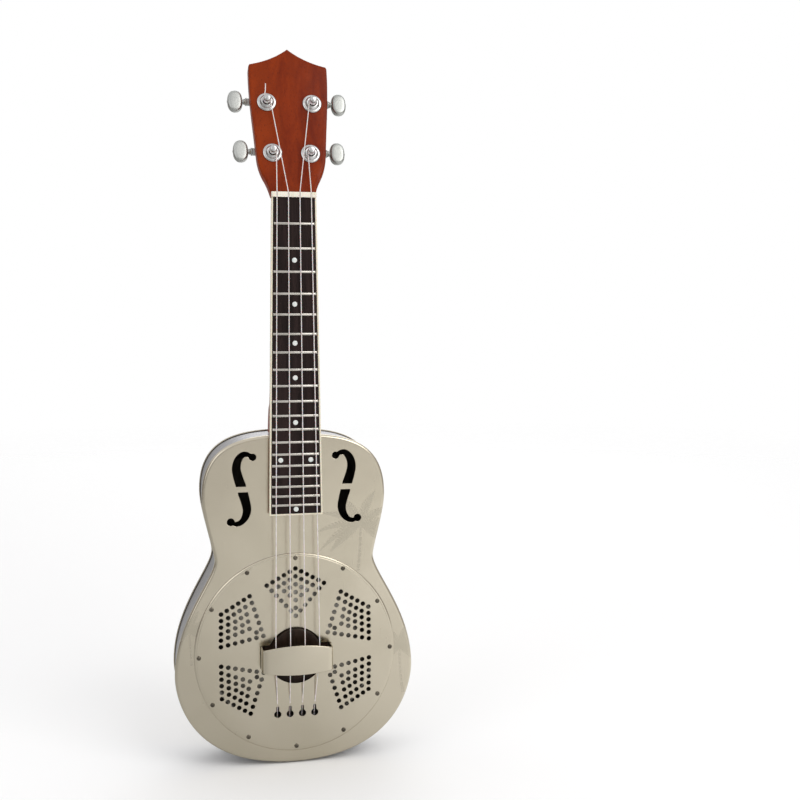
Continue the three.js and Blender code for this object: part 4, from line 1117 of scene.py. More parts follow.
# ---------- cover plate ----------
def cover_opening():
    """The round opening under the hand rest, with a notch to each side for the rest's legs."""
    start = math.asin(NOTCH_HALF_HEIGHT / OPENING_RADIUS)
    steps = 28
    upper = [(NOTCH_HALF_WIDTH, NOTCH_HALF_HEIGHT)]
    for i in range(steps + 1):
        angle = start + (math.pi - 2 * start) * i / steps
        upper.append((OPENING_RADIUS * math.cos(angle), OPENING_RADIUS * math.sin(angle)))
    upper.append((-NOTCH_HALF_WIDTH, NOTCH_HALF_HEIGHT))
    loop = [*upper, *[(-x, -z) for x, z in upper]]
    return [(x, z - OPENING_BELOW) for x, z in filleted(loop, 0.8, 3, closed=True)]


def keyhole(x):
    """A round hole with a narrow slot towards the neck."""
    start = math.pi / 2 - math.asin(KEYHOLE_SLOT_HALF / KEYHOLE_RADIUS)
    sweep = 2 * math.pi - 2 * (math.pi / 2 - start)
    steps = 26
    loop = []
    for i in range(steps + 1):
        angle = start - sweep * i / steps
        loop.append((KEYHOLE_RADIUS * math.cos(angle), KEYHOLE_RADIUS * math.sin(angle)))
    tip = KEYHOLE_RADIUS + KEYHOLE_SLOT
    loop.extend([(-KEYHOLE_SLOT_HALF, tip - 0.8), (-0.5, tip), (0.5, tip), (KEYHOLE_SLOT_HALF, tip - 0.8)])
    return [(x + px, pz - KEYHOLE_BELOW) for px, pz in loop]


def kite_points():
    """Hole centres of one kite that points away from the cover's middle, along +Y of the flat layout."""
    side_x, side_y = KITE_SIDE
    outer = [(side_x * k / 5, KITE_OUTER + (side_y - KITE_OUTER) * k / 5) for k in range(6)]
    inner = [(side_x * k / 6, KITE_INNER + (side_y - KITE_INNER) * k / 6) for k in range(6)]
    row = (KITE_OUTER - KITE_INNER) / 6
    middle = [(0, KITE_OUTER - row * i) for i in range(1, 6)]
    right = []
    for column in range(1, 4):
        x, top = outer[column]
        right.extend((x, top - row * i) for i in range(1, 5 - column))
    points = [outer[0], inner[0], *middle]
    for x, y in [*outer[1:], *inner[1:], *right]:
        points.extend([(x, y), (-x, y)])
    return points


def loose_mesh(name, points, edges=()):
    """An object of bare points and edges, for a tree to work from."""
    mesh = bpy.data.meshes.new(name)
    mesh.from_pydata([(x * MM, y * MM, 0) for x, y in points], list(edges), [])
    made = bpy.data.objects.new(name, mesh)
    bpy.context.scene.collection.objects.link(made)
    return made


def perforation_tree():
    """Sheet filled round its outlines and a fan of hole patterns, then given its thickness."""
    graph, given, result = new_group(
        "perforated_sheet", "GeometryNodeTree",
        [("Pattern", "Geometry", None), ("Outlines", "Object", None), ("Hole Radius", "Float", 0.0017),
         ("Hole Sides", "Int", 14), ("Fans", "Int", 5), ("First Turn", "Float", 0.0), ("Step", "Float", 1.0),
         ("Thickness", "Float", 0.001), ("Material", "Material", None)],
        [("Geometry", "Geometry")])
    hole = graph.node("GeometryNodeCurvePrimitiveCircle", mode="RADIUS")
    graph.feed(hole.inputs["Resolution"], given["Hole Sides"])
    graph.feed(hole.inputs["Radius"], given["Hole Radius"])
    holes = graph.node("GeometryNodeInstanceOnPoints")
    graph.feed(holes.inputs["Points"], given["Pattern"])
    graph.feed(holes.inputs["Instance"], hole.outputs[0])
    fan = graph.node("GeometryNodePoints")
    graph.feed(fan.inputs["Count"], given["Fans"])
    index = graph.node("GeometryNodeInputIndex").outputs[0]
    angle = graph.maths("MULTIPLY_ADD", index, given["Step"], given["First Turn"])
    around = graph.node("GeometryNodeInstanceOnPoints")
    graph.feed(around.inputs["Points"], fan.outputs[0])
    graph.feed(around.inputs["Instance"], holes.outputs[0])
    graph.feed(around.inputs["Rotation"], graph.together(0.0, 0.0, angle))
    realized = graph.node("GeometryNodeRealizeInstances")
    graph.feed(realized.inputs[0], around.outputs[0])
    outline = graph.node("GeometryNodeObjectInfo")
    graph.feed(outline.inputs[0], given["Outlines"])
    outline_curve = graph.node("GeometryNodeMeshToCurve")
    graph.feed(outline_curve.inputs[0], outline.outputs["Geometry"])
    joined = graph.node("GeometryNodeJoinGeometry")
    graph.feed(joined.inputs[0], outline_curve.outputs[0])
    graph.feed(joined.inputs[0], realized.outputs[0])
    filled = graph.node("GeometryNodeFillCurve")
    graph.feed(filled.inputs[0], joined.outputs[0])
    thick = graph.node("GeometryNodeExtrudeMesh", mode="FACES")
    graph.feed(thick.inputs["Mesh"], filled.outputs[0])
    graph.feed(thick.inputs["Offset Scale"], given["Thickness"])
    graph.feed(thick.inputs["Individual"], False)
    base = graph.node("GeometryNodeFlipFaces")
    graph.feed(base.inputs[0], filled.outputs[0])
    both = graph.node("GeometryNodeJoinGeometry")
    graph.feed(both.inputs[0], base.outputs[0])
    graph.feed(both.inputs[0], thick.outputs[0])
    merged = graph.node("GeometryNodeMergeByDistance")
    graph.feed(merged.inputs["Geometry"], both.outputs[0])
    graph.feed(merged.inputs["Distance"], 1e-6)
    final = graph.node("GeometryNodeRealizeInstances")
    graph.feed(final.inputs[0], merged.outputs[0])
    painted = graph.node("GeometryNodeSetMaterial")
    graph.feed(painted.inputs["Geometry"], final.outputs[0])
    graph.feed(painted.inputs["Material"], given["Material"])
    graph.feed(result["Geometry"], painted.outputs[0])
    return graph.tree


def grow_by_nodes(piece, tree, **values):
    """Runs a Geometry Nodes tree on a piece and keeps its result as a plain mesh."""
    modifier = piece.modifiers.new(tree.name, "NODES")
    modifier.node_group = tree
    sockets = {
        item.name: item.identifier for item in tree.interface.items_tree
        if item.item_type == "SOCKET" and item.in_out == "INPUT"}
    for name, value in values.items():
        modifier[sockets[name.replace("_", " ")]] = value
    return settle(piece)


def cover_plate():
    """Perforated disc whose edge is turned down to the body."""
    flat_radius = COVER_RADIUS - COVER_ROLL
    loops = [circle(flat_radius, 0, 0, 160), cover_opening()]
    loops.extend(keyhole(string_x(index, "tail")) for index in range(4))
    for i in range(COVER_SCREWS):
        angle = 2 * math.pi * i / COVER_SCREWS
        loops.append(circle(COVER_SCREW_HOLE, COVER_SCREW_CIRCLE * math.cos(angle),
                            COVER_SCREW_CIRCLE * math.sin(angle), 12))
    points, edges = [], []
    for loop in loops:
        start = len(points)
        points.extend(loop)
        edges.extend((start + i, start + (i + 1) % len(loop)) for i in range(len(loop)))
    outlines = loose_mesh("cover_outlines", points, edges)
    cover = loose_mesh("perforated_cover", kite_points())
    grow_by_nodes(
        cover, perforation_tree(), Outlines=outlines, Hole_Radius=PERFORATION_RADIUS * MM, Hole_Sides=14,
        Fans=KITES, First_Turn=KITE_FIRST - math.pi / 2, Step=KITE_STEP, Thickness=COVER_THICKNESS * MM,
        Material=FINISH["nickel"])
    bpy.data.objects.remove(outlines)
    upright = Matrix.Translation((0, (COVER_FACE + COVER_THICKNESS) * MM, CONE_Z * MM)) @ Matrix.Rotation(
        math.pi / 2, 4, "X")
    cover.data.transform(upright)

    rim = Skin()
    edge = COVER_FACE
    turn(rim, filleted([
        (flat_radius, edge), (flat_radius + 0.25, edge + 0.22), (flat_radius + 0.6, edge + 0.22),
        (COVER_RADIUS - 0.9, edge + 0.24), (COVER_RADIUS, edge + 0.95),
        (COVER_RADIUS, edge + COVER_THICKNESS), (flat_radius, edge + COVER_THICKNESS)], 0.3, 3),
        centre=(0, 0, CONE_Z), sides=160)
    ring = mesh_object("cover_rim", rim, FINISH["nickel"])
    work = bmesh.new()
    work.from_mesh(cover.data)
    rim_wall = [face for face in work.faces if all(
        math.hypot(v.co.x / MM, v.co.z / MM - CONE_Z) > flat_radius - 0.01 for v in face.verts)]
    bmesh.ops.delete(work, geom=rim_wall, context="FACES")
    work.from_mesh(ring.data)
    bmesh.ops.remove_doubles(work, verts=work.verts, dist=0.01 * MM)
    bmesh.ops.recalc_face_normals(work, faces=work.faces)
    work.to_mesh(cover.data)
    work.free()
    bpy.data.objects.remove(ring)
    cover.data.materials.clear()
    cover.data.materials.append(FINISH["nickel"])
    cover.data.materials.append(FINISH["screws"])
    # the rim's outer wall takes the dark screw finish: a painted shadow line round the cover's edge
    for face in cover.data.polygons:
        out = math.hypot(face.center.x, face.center.z - CONE_Z * MM)
        face.material_index = int(out > (COVER_RADIUS - 0.35) * MM and abs(face.normal.y) < 0.6)
    shade(cover.data, 50)
    soften = cover.modifiers.new("soften", "BEVEL")
    soften.width = 0.16 * MM
    soften.segments = 1
    soften.limit_method = "ANGLE"
    soften.angle_limit = math.radians(60)
    settle(cover)
    shade(cover.data, 50)
    even_normals(cover)
    return belongs(cover, "body", "nickel_plate", "cover_plate")


def screw_head(name, radius, height, finish):
    """Domed head with a cross recess, facing -Y, its seat at the origin; also a short shank."""
    skin = Skin()
    steps = 6
    rim, shank, shank_end = 0.25, 0.55 * radius, 2
    angles = [math.pi / 2 * i / steps for i in range(steps)]
    dome = [(radius * math.cos(angle), -rim - (height - rim) * math.sin(angle)) for angle in angles]
    turn(skin, [(0, -height), *reversed(dome), (radius, 0), (shank, 0), (shank, shank_end), (0, shank_end)],
         sides=20)
    head = mesh_object(name, skin, finish)
    cut = Skin()
    long, short = radius * 0.62, radius * 0.14
    for x, z in ((long, short), (short, long)):
        slab(cut, [(-x, -z), (x, -z), (x, z), (-x, z)], -height - 1, -height * 0.45)
    cutter = mesh_object("cross", cut, finish)
    join_cut = head.modifiers.new("cut", "BOOLEAN")
    join_cut.operation = "DIFFERENCE"
    join_cut.solver = "EXACT"
    join_cut.use_self = True
    join_cut.object = cutter
    settle(head)
    bpy.data.objects.remove(cutter)
    shade(head.data, 40)
    return head


def ring_tree():
    """Copies of a piece round a circle, each turned by a random amount about its own axis."""
    graph, given, result = new_group(
        "ring_of_copies", "GeometryNodeTree",
        [("Piece", "Geometry", None), ("Count", "Int", 12), ("Radius", "Float", 0.08),
         ("Centre", "Vector", None), ("Seed", "Int", 3), ("Material", "Material", None)],
        [("Geometry", "Geometry")])
    points = graph.node("GeometryNodePoints")
    graph.feed(points.inputs["Count"], given["Count"])
    index = graph.node("GeometryNodeInputIndex").outputs[0]
    share = graph.maths("DIVIDE", index, given["Count"])
    angle = graph.maths("MULTIPLY", share, 2 * math.pi)
    x = graph.maths("MULTIPLY", graph.maths("COSINE", angle), given["Radius"])
    z = graph.maths("MULTIPLY", graph.maths("SINE", angle), given["Radius"])
    place = graph.node("ShaderNodeVectorMath", operation="ADD")
    graph.feed(place.inputs[0], graph.together(x, 0.0, z))
    graph.feed(place.inputs[1], given["Centre"])
    graph.feed(points.inputs["Position"], place.outputs[0])
    spin = graph.node("FunctionNodeRandomValue", data_type="FLOAT")
    for socket, value in zip([s for s in spin.inputs if s.enabled], (0.0, math.pi)):
        graph.feed(socket, value)
    graph.feed(spin.inputs["Seed"], given["Seed"])
    turned = graph.together(0.0, next(s for s in spin.outputs if s.enabled), 0.0)
    copies = graph.node("GeometryNodeInstanceOnPoints")
    graph.feed(copies.inputs["Points"], points.outputs[0])
    graph.feed(copies.inputs["Instance"], given["Piece"])
    graph.feed(copies.inputs["Rotation"], turned)
    return finish_tree(graph, given, result, copies.outputs[0])


def finish_tree(graph, given, result, geometry):
    """Realizes a tree's copies and gives them their material."""
    real = graph.node("GeometryNodeRealizeInstances")
    graph.feed(real.inputs[0], geometry)
    painted = graph.node("GeometryNodeSetMaterial")
    graph.feed(painted.inputs["Geometry"], real.outputs[0])
    graph.feed(painted.inputs["Material"], given["Material"])
    graph.feed(result["Geometry"], painted.outputs[0])
    return graph.tree


def cover_screws():
    """Twelve screws round the cover plate, their slots at random turns."""
    screws = screw_head("cover_screws", 1.9, 1.1, FINISH["screws"])
    grow_by_nodes(
        screws, ring_tree(), Count=COVER_SCREWS, Radius=COVER_SCREW_CIRCLE * MM,
        Centre=(0, COVER_FACE * MM, CONE_Z * MM), Seed=5, Material=FINISH["screws"])
    return belongs(screws, "body", "chrome")


def hand_rest():
    """A strap across the strings; its width swells towards the middle and its edges are rounded."""
    top = COVER_FACE - REST_STAND
    foot = COVER_FACE + COVER_THICKNESS + GAP + REST_THICKNESS / 2
    inner = REST_HALF_WIDTH - REST_THICKNESS / 2
    reach = REST_HALF_WIDTH + REST_FOOT
    arch = []
    steps = 24
    for i in range(-steps, steps + 1):
        x = (inner - REST_CORNER) * i / steps
        arch.append((x, top + REST_THICKNESS / 2 + REST_ARCH * (i / steps) ** 2))
    shoulder = top + REST_THICKNESS / 2 + REST_ARCH
    left_corner = bezier(((-inner, shoulder + REST_CORNER), (-inner, shoulder + 0.6), arch[0]), 10)
    right_corner = [(-x, y) for x, y in reversed(left_corner)]
    legs = [(-reach, foot), *filleted([(-reach + 1, foot), (-inner, foot), (-inner, foot - 4)], 1.0, 4)]
    path = [*legs, *left_corner, *arch[1:-1], *right_corner, *[(-x, y) for x, y in reversed(legs)]]
    skin = Skin()
    rings = []
    for i, (x, y) in enumerate(path):
        before, after = path[max(i - 1, 0)], path[min(i + 1, len(path) - 1)]
        run = Vector((after[0] - before[0], after[1] - before[1])).normalized()
        across = Vector((run.y, -run.x))
        swell = (REST_MIDDLE - REST_END) * max(0.0, 1 - (x / REST_HALF_WIDTH) ** 2)
        up = REST_END / 2 + REST_NECKWARDS * swell
        down = REST_END / 2 + (1 - REST_NECKWARDS) * swell
        half = REST_THICKNESS / 2
        section = []
        edge_steps = 5
        for end, sign in ((up - half, 1), (down - half, -1)):
            for k in range(edge_steps + 1):
                angle = math.pi * k / edge_steps
                section.append((sign * (end + half * math.sin(angle)), sign * half * math.cos(angle)))
        middle_z = CONE_Z - OPENING_BELOW
        rings.append(skin.ring(
            [(x + across.x * off, y + across.y * off, middle_z + z) for z, off in section]))
    skin.bands(rings)
    skin.cap(rings[0])
    skin.cap(rings[-1])
    rest = even_normals(mesh_object("hand_rest_strap", skin, FINISH["nickel"], sharp_angle=60))
    return belongs(rest, "body", "nickel_plate", "hand_rest")


# ---------- neck, board and nut ----------
def fret_z(number):
    """Height of a fret, by the rule of the twelfth root of two."""
    return NUT_Z - SCALE_LENGTH * (1 - 2 ** (-number / 12))


BOARD_END_Z = fret_z(FRET_COUNT) - BOARD_PAST_LAST_FRET


def board_half(z):
    """Half of the fingerboard's width at a height."""
    along = (NUT_Z - z) / (NUT_Z - BOARD_END_Z)
    return (NUT_WIDTH + (BOARD_END_WIDTH - NUT_WIDTH) * along) / 2


def neck_section(z, half, front, back, back_half):
    """Flat at the front, rounded at the sides, with a flat of the given half width at the back."""
    steps = 16
    right = []
    for i in range(steps + 1):
        angle = math.pi / 2 * i / steps
        x = back_half + (half - back_half) * math.cos(angle)
        right.append((x, front + (back - front) * math.sin(angle)))
    right[-1] = (max(back_half, 0.4), back)
    return [(x, y, z) for x, y in [*right, *[(-x, y) for x, y in reversed(right)]]]


def neck_shaft():
    """Sections of the neck from the head's throat down to the cap of the heel."""
    front = BOARD_Y + BOARD_THICKNESS + GAP
    cap_back = BACK_Y - HEEL_INSET
    shallow = front + NECK_DEPTH_AT_HEEL
    sections = [
        (NUT_Z + 16, 21.5, HEAD_FACE_Y + 6.5, 7.6, 0.0), (NUT_Z + 8, 19.2, HEAD_FACE_Y + 3.5, 7.7, 0.0)]
    for down in range(0, int(HEEL_START), 8):
        depth = NECK_DEPTH_AT_NUT + (NECK_DEPTH_AT_HEEL - NECK_DEPTH_AT_NUT) * down / HEEL_START
        z = NUT_Z - down
        sections.append((z, board_half(z), front, front + depth, 0.0))
    sweep_steps = 14
    for i in range(sweep_steps + 1):
        part = 1 - (1 - i / (sweep_steps + 0.4)) ** 1.8
        z = NUT_Z - HEEL_START - part * (HEEL_TIP - HEEL_START)
        back = shallow + (cap_back - shallow) * (1 - math.sqrt(1 - part * part))
        sections.append((z, board_half(z), front, back, 0.0))
    cap_steps = 12
    for i in range(1, cap_steps + 1):
        part = (i / cap_steps) ** 1.7
        z = NUT_Z - HEEL_TIP - part * (BODY_TOP - HEEL_TIP - GAP)
        back_half = HEEL_HALF * math.sqrt(1 - (1 - part) ** 2)
        sections.append((z, board_half(z), front, cap_back, back_half))
    skin = Skin()
    rings = [skin.ring(neck_section(*section)) for section in sections]
    skin.bands(rings)
    skin.cap(rings[0])
    skin.cap(rings[-1])
    return skin


def head_outline():
    """The head in its own plane: distance across, and from the nut."""
    half, corner = HEAD_CORNER
    curves = (
        ((0, HEAD_APEX), (14, 122.5), (half - 0.8, corner + 0.4)),
        ((half - 0.8, corner + 0.4), (half, corner), (half + 0.3, corner - 2)),
        ((half + 0.3, corner - 2), (33.4, 95), (30.3, 60)),
        ((30.3, 60), (29.4, 48), (28.5, 36)),
        ((28.5, 36), (27.6, 25), (23.8, 18)),
        ((23.8, 18), (19.4, 9.5), (NUT_WIDTH / 2, NUT_THICKNESS / 2)),
    )
    right = []
    for curve in curves:
        right.extend(bezier(curve, 12)[:-1])
    right.append((NUT_WIDTH / 2, NUT_THICKNESS / 2))
    right.append((0, NUT_THICKNESS / 2))
    return mirrored(right)


def neck():
    """Head, shaft, heel and the tongue under the board, blended into one piece of wood, and its stick."""
    shaft = mesh_object("neck_wood", neck_shaft(), FINISH["mahogany"])
    board = Skin()
    slab(board, head_outline(), 0, HEAD_THICKNESS, 1.2, 1.4)
    head = mesh_object("head_wood", board, FINISH["mahogany"], HEAD_FRAME)
    under = Skin()
    top, end = NUT_Z - BODY_TOP + 10, BOARD_END_Z + 0.8
    tongue_outline = [(-board_half(top) + 0.4, top), (board_half(top) - 0.4, top),
                      (board_half(end) - 0.4, end), (-board_half(end) + 0.4, end)]
    slab(under, tongue_outline, BOARD_Y + BOARD_THICKNESS + GAP, FRONT_Y - GAP, 0, 0)
    tongue = mesh_object("tongue_wood", under, FINISH["mahogany"])
    work = bmesh.new()
    for part in (shaft, head, tongue):
        work.from_mesh(part.data)
    work.to_mesh(shaft.data)
    work.free()
    for part in (head, tongue):
        bpy.data.objects.remove(part)
    blend = shaft.modifiers.new("blend", "REMESH")
    blend.mode = "VOXEL"
    blend.voxel_size = 0.8 * MM
    blend.use_smooth_shade = True
    settle(shaft)
    throat = shaft.vertex_groups.new(name="throat")
    for vertex in shaft.data.vertices:
        y, z = vertex.co.y / MM, vertex.co.z / MM
        near = max(0.0, 1 - abs(z - NUT_Z - 9) / 22) * (1.0 if y > -1 else 0.0)
        if near > 0:
            throat.add([vertex.index], min(1.0, 1.6 * near), "REPLACE")
    ease = shaft.modifiers.new("ease", "SMOOTH")
    ease.factor = 0.6
    ease.iterations = 40
    ease.vertex_group = "throat"
    calm = shaft.modifiers.new("calm", "SMOOTH")
    calm.factor = 0.4
    calm.iterations = 2
    settle(shaft)
    rod = Skin()
    back = STICK_FRONT + 2 * STICK_HALF
    low, high = NUT_Z - BODY_BOTTOM + 4, NUT_Z - BODY_TOP + 8
    slab(rod, [(-STICK_HALF, low), (STICK_HALF, low), (STICK_HALF, high), (-STICK_HALF, high)],
         STICK_FRONT, back, 0.8, 0.8)
    stick = mesh_object("stick", rod, FINISH["mahogany"])
    work = bmesh.new()
    work.from_mesh(shaft.data)
    work.from_mesh(stick.data)
    work.to_mesh(shaft.data)
    work.free()
    bpy.data.objects.remove(stick)
    shade(shaft.data, 50)
    return belongs(shaft, "body", "mahogany", "neck")


def binding():
    """Cream strip down both sides of the board and across its end."""
    skin = Skin()
    top, end = NUT_Z - GAP, BOARD_END_Z
    outer_top, outer_end = board_half(top), board_half(end)
    inner_end_z = end + BINDING_WIDTH - GAP
    inner_top, inner_end = outer_top - BINDING_WIDTH + GAP, board_half(inner_end_z) - BINDING_WIDTH + GAP
    loop = [(outer_top, top), (outer_end, end), (-outer_end, end), (-outer_top, top),
            (-inner_top, top), (-inner_end, inner_end_z), (inner_end, inner_end_z), (inner_top, top)]
    loop = filleted(loop, 0.4, 3, closed=True)
    slab(skin, loop, BOARD_Y, BOARD_Y + BOARD_THICKNESS, 0.3, 0.1)
    strip = even_normals(mesh_object("board_binding", skin, FINISH["binding"]))
    return belongs(strip, "body", "ivory_binding", "fingerboard_binding")


def nut():
    """A bone blade with rounded slots for the strings."""
    half = NUT_WIDTH / 2
    slot = STRING_RADIUS + 0.12
    front = BOARD_Y - NUT_RISE
    outline = [(half, BOARD_Y + 3), (half, front + 0.6), (half - 0.6, front)]
    for index in range(4):
        x = string_x(index, "nut")
        floor = BOARD_Y - STRING_RISE_AT_NUT + slot
        outline.extend([
            (x + slot, front), (x + slot, floor - slot), (x + slot * 0.7, floor - slot * 0.3), (x, floor),
            (x - slot * 0.7, floor - slot * 0.3), (x - slot, floor - slot), (x - slot, front)])
    outline.extend([(0.6 - half, front), (-half, front + 0.6), (-half, BOARD_Y + 3)])
    made = blade("nut_blade", outline, NUT_Z, NUT_Z + NUT_THICKNESS, FINISH["bone"], 0.14)
    return belongs(made, "body", "bone", "nut")


def fret_tree():
    """Copies of a fret of unit width down the board, spaced by the rule of the twelfth root of two."""
    graph, given, result = new_group(
        "fret_run", "GeometryNodeTree",
        [("Fret", "Geometry", None), ("Count", "Int", 19), ("Scale Length", "Float", 0.38),
         ("Nut", "Vector", None), ("Width At Nut", "Float", 0.03), ("Widening", "Float", 0.03),
         ("Material", "Material", None)],
        [("Geometry", "Geometry")])
    points = graph.node("GeometryNodePoints")
    graph.feed(points.inputs["Count"], given["Count"])
    index = graph.node("GeometryNodeInputIndex").outputs[0]
    semitones = graph.maths("DIVIDE", graph.maths("ADD", index, 1.0), -12.0)
    left = graph.maths("SUBTRACT", 1.0, graph.maths("POWER", 2.0, semitones))
    drop = graph.maths("MULTIPLY", left, given["Scale Length"])
    place = graph.node("ShaderNodeVectorMath", operation="SUBTRACT")
    graph.feed(place.inputs[0], given["Nut"])
    graph.feed(place.inputs[1], graph.together(0.0, 0.0, drop))
    graph.feed(points.inputs["Position"], place.outputs[0])
    placed = graph.node("GeometryNodeInputPosition").outputs[0]
    gone = graph.node("ShaderNodeVectorMath", operation="SUBTRACT")
    graph.feed(gone.inputs[0], given["Nut"])
    graph.feed(gone.inputs[1], placed)
    along = graph.apart(gone.outputs[0])["Z"]
    wide = graph.maths("MULTIPLY_ADD", along, given["Widening"], given["Width At Nut"])
    copies = graph.node("GeometryNodeInstanceOnPoints")
    graph.feed(copies.inputs["Points"], points.outputs[0])
    graph.feed(copies.inputs["Instance"], given["Fret"])
    graph.feed(copies.inputs["Scale"], graph.together(wide, 1.0, 1.0))
    return finish_tree(graph, given, result, copies.outputs[0])


def frets():
    """All frets: a domed crown with filed ends over a thin tang."""
    half = FRET_CROWN_WIDTH / 2
    steps = 8
    crown = []
    for i in range(steps + 1):
        angle = math.pi * i / steps
        crown.append((half * math.cos(angle), -0.08 - (FRET_CROWN_HEIGHT - 0.08) * math.sin(angle) ** 0.85))
    skin = Skin()
    rings = []
    unit = 1 / MM
    for x, low in ((-0.5, 0.35), (-0.487, 0.85), (-0.475, 1.0), (0.475, 1.0), (0.487, 0.85), (0.5, 0.35)):
        section = [(x * unit, y * low, z) for z, y in crown]
        section.extend([(x * unit, -0.02, -half), (x * unit, -0.02, -0.28), (x * unit, 1.7, -0.28),
                        (x * unit, 1.7, 0.28), (x * unit, -0.02, 0.28), (x * unit, -0.02, half)])
        rings.append(skin.ring(section))
    skin.bands(rings)
    skin.cap(rings[0])
    skin.cap(rings[-1])
    run = mesh_object("frets", skin, FINISH["frets"])
    run_length = (NUT_Z - BOARD_END_Z) * MM
    inside = 2 * (BINDING_WIDTH + GAP)
    grow_by_nodes(
        run, fret_tree(), Count=FRET_COUNT, Scale_Length=SCALE_LENGTH * MM,
        Nut=(0, (BOARD_Y - 0.03) * MM, NUT_Z * MM),
        Width_At_Nut=(NUT_WIDTH - inside) * MM, Widening=(BOARD_END_WIDTH - NUT_WIDTH) * MM / run_length,
        Material=FINISH["frets"])
    shade(run.data, 45)
    nodes = [f"fret_{number:02d}" for number in range(1, FRET_COUNT + 1)]
    return belongs(run, "body", "fret_wire", *nodes)


def position_dots():
    """Pearl dots between the frets, and one past the last fret."""
    def between(number):
        return (fret_z(number - 1) + fret_z(number)) / 2

    places = [(0, between(number)) for number in DOT_FRETS]
    places.extend((side * PAIR_HALF_SPACING, between(PAIR_FRET)) for side in (-1, 1))
    places.append((0, (fret_z(FRET_COUNT) + BOARD_END_Z + BINDING_WIDTH) / 2))
    skin = Skin()
    face = BOARD_Y - 0.04
    profile = [
        (0, face - 0.03), (DOT_RADIUS - 0.15, face - 0.02), (DOT_RADIUS, face + 0.08),
        (DOT_RADIUS, face + 0.7), (0, face + 0.7)]
    for x, z in places:
        turn(skin, profile, centre=(x, 0, z), sides=28)
    return belongs(mesh_object("position_dots", skin, FINISH["pearl"]), "body", "bone")


# ---------- tuners, in the head's own frame: Y goes into the wood, Z along the head ----------
def tuner_bush(number, x, z):
    """Washer and domed bush pressed into the head's face."""
    skin = Skin()
    bore = POST_RADIUS + GAP
    profile = filleted([
        (bore, -BUSH_RISE - 0.3), (4.5, -BUSH_RISE - 0.3), (BUSH_DOME, -BUSH_RISE + 1.1), (BUSH_DOME, -1.75),
        (6.3, -1.3), (BUSH_FLANGE - 0.9, -1.35), (BUSH_FLANGE, -0.8), (BUSH_FLANGE, -0.2),
        (BUSH_SLEEVE, -0.2), (BUSH_SLEEVE, BUSH_DEPTH), (bore, BUSH_DEPTH)], 0.45, 3, closed=True)
    turn(skin, profile, centre=(x, 0, z), sides=56, closed=True)
    made = mesh_object(f"tuner_{number}_washer", skin, FINISH["chrome"], HEAD_FRAME)
    return belongs(made, "body", "chrome", f"tuner_{number}_bush")


def tuner_post(number, x, z):
    """String post: domed cap, waist for the turns of string and a collar over the bush."""
    skin = Skin()
    face = WORM_DEPTH - 1.5 - GAP
    end = WORM_DEPTH + 2.1
    cap = filleted([(0, -POST_STAND), (2.1, -POST_STAND), (POST_RADIUS, -POST_STAND + 0.7),
                    (POST_RADIUS, -7.7), (POST_WAIST, -6.9), (POST_WAIST, -4.5), (2.75, -3.9),
                    (POST_RADIUS, -3.2), (POST_RADIUS, face), (2.0, face), (2.0, end), (0, end)], 0.5, 4)
    turn(skin, cap, centre=(x, 0, z), sides=40)
    made = mesh_object(f"tuner_{number}_string_post", skin, FINISH["chrome"], HEAD_FRAME)
    return belongs(made, f"tuner_{number}_winder", "chrome", f"tuner_{number}_post")


def cross_screw(name, radius, height, centre, facing, finish, place):
    """A domed cross-head screw turned to face along a direction, at a place in the head's frame."""
    head = screw_head(name, radius, height, finish)
    aim = Vector((0, -1, 0)).rotation_difference(Vector(facing)).to_matrix().to_4x4()
    head.data.transform(place @ Matrix.Translation(Vector(centre) * MM) @ aim)
    return head


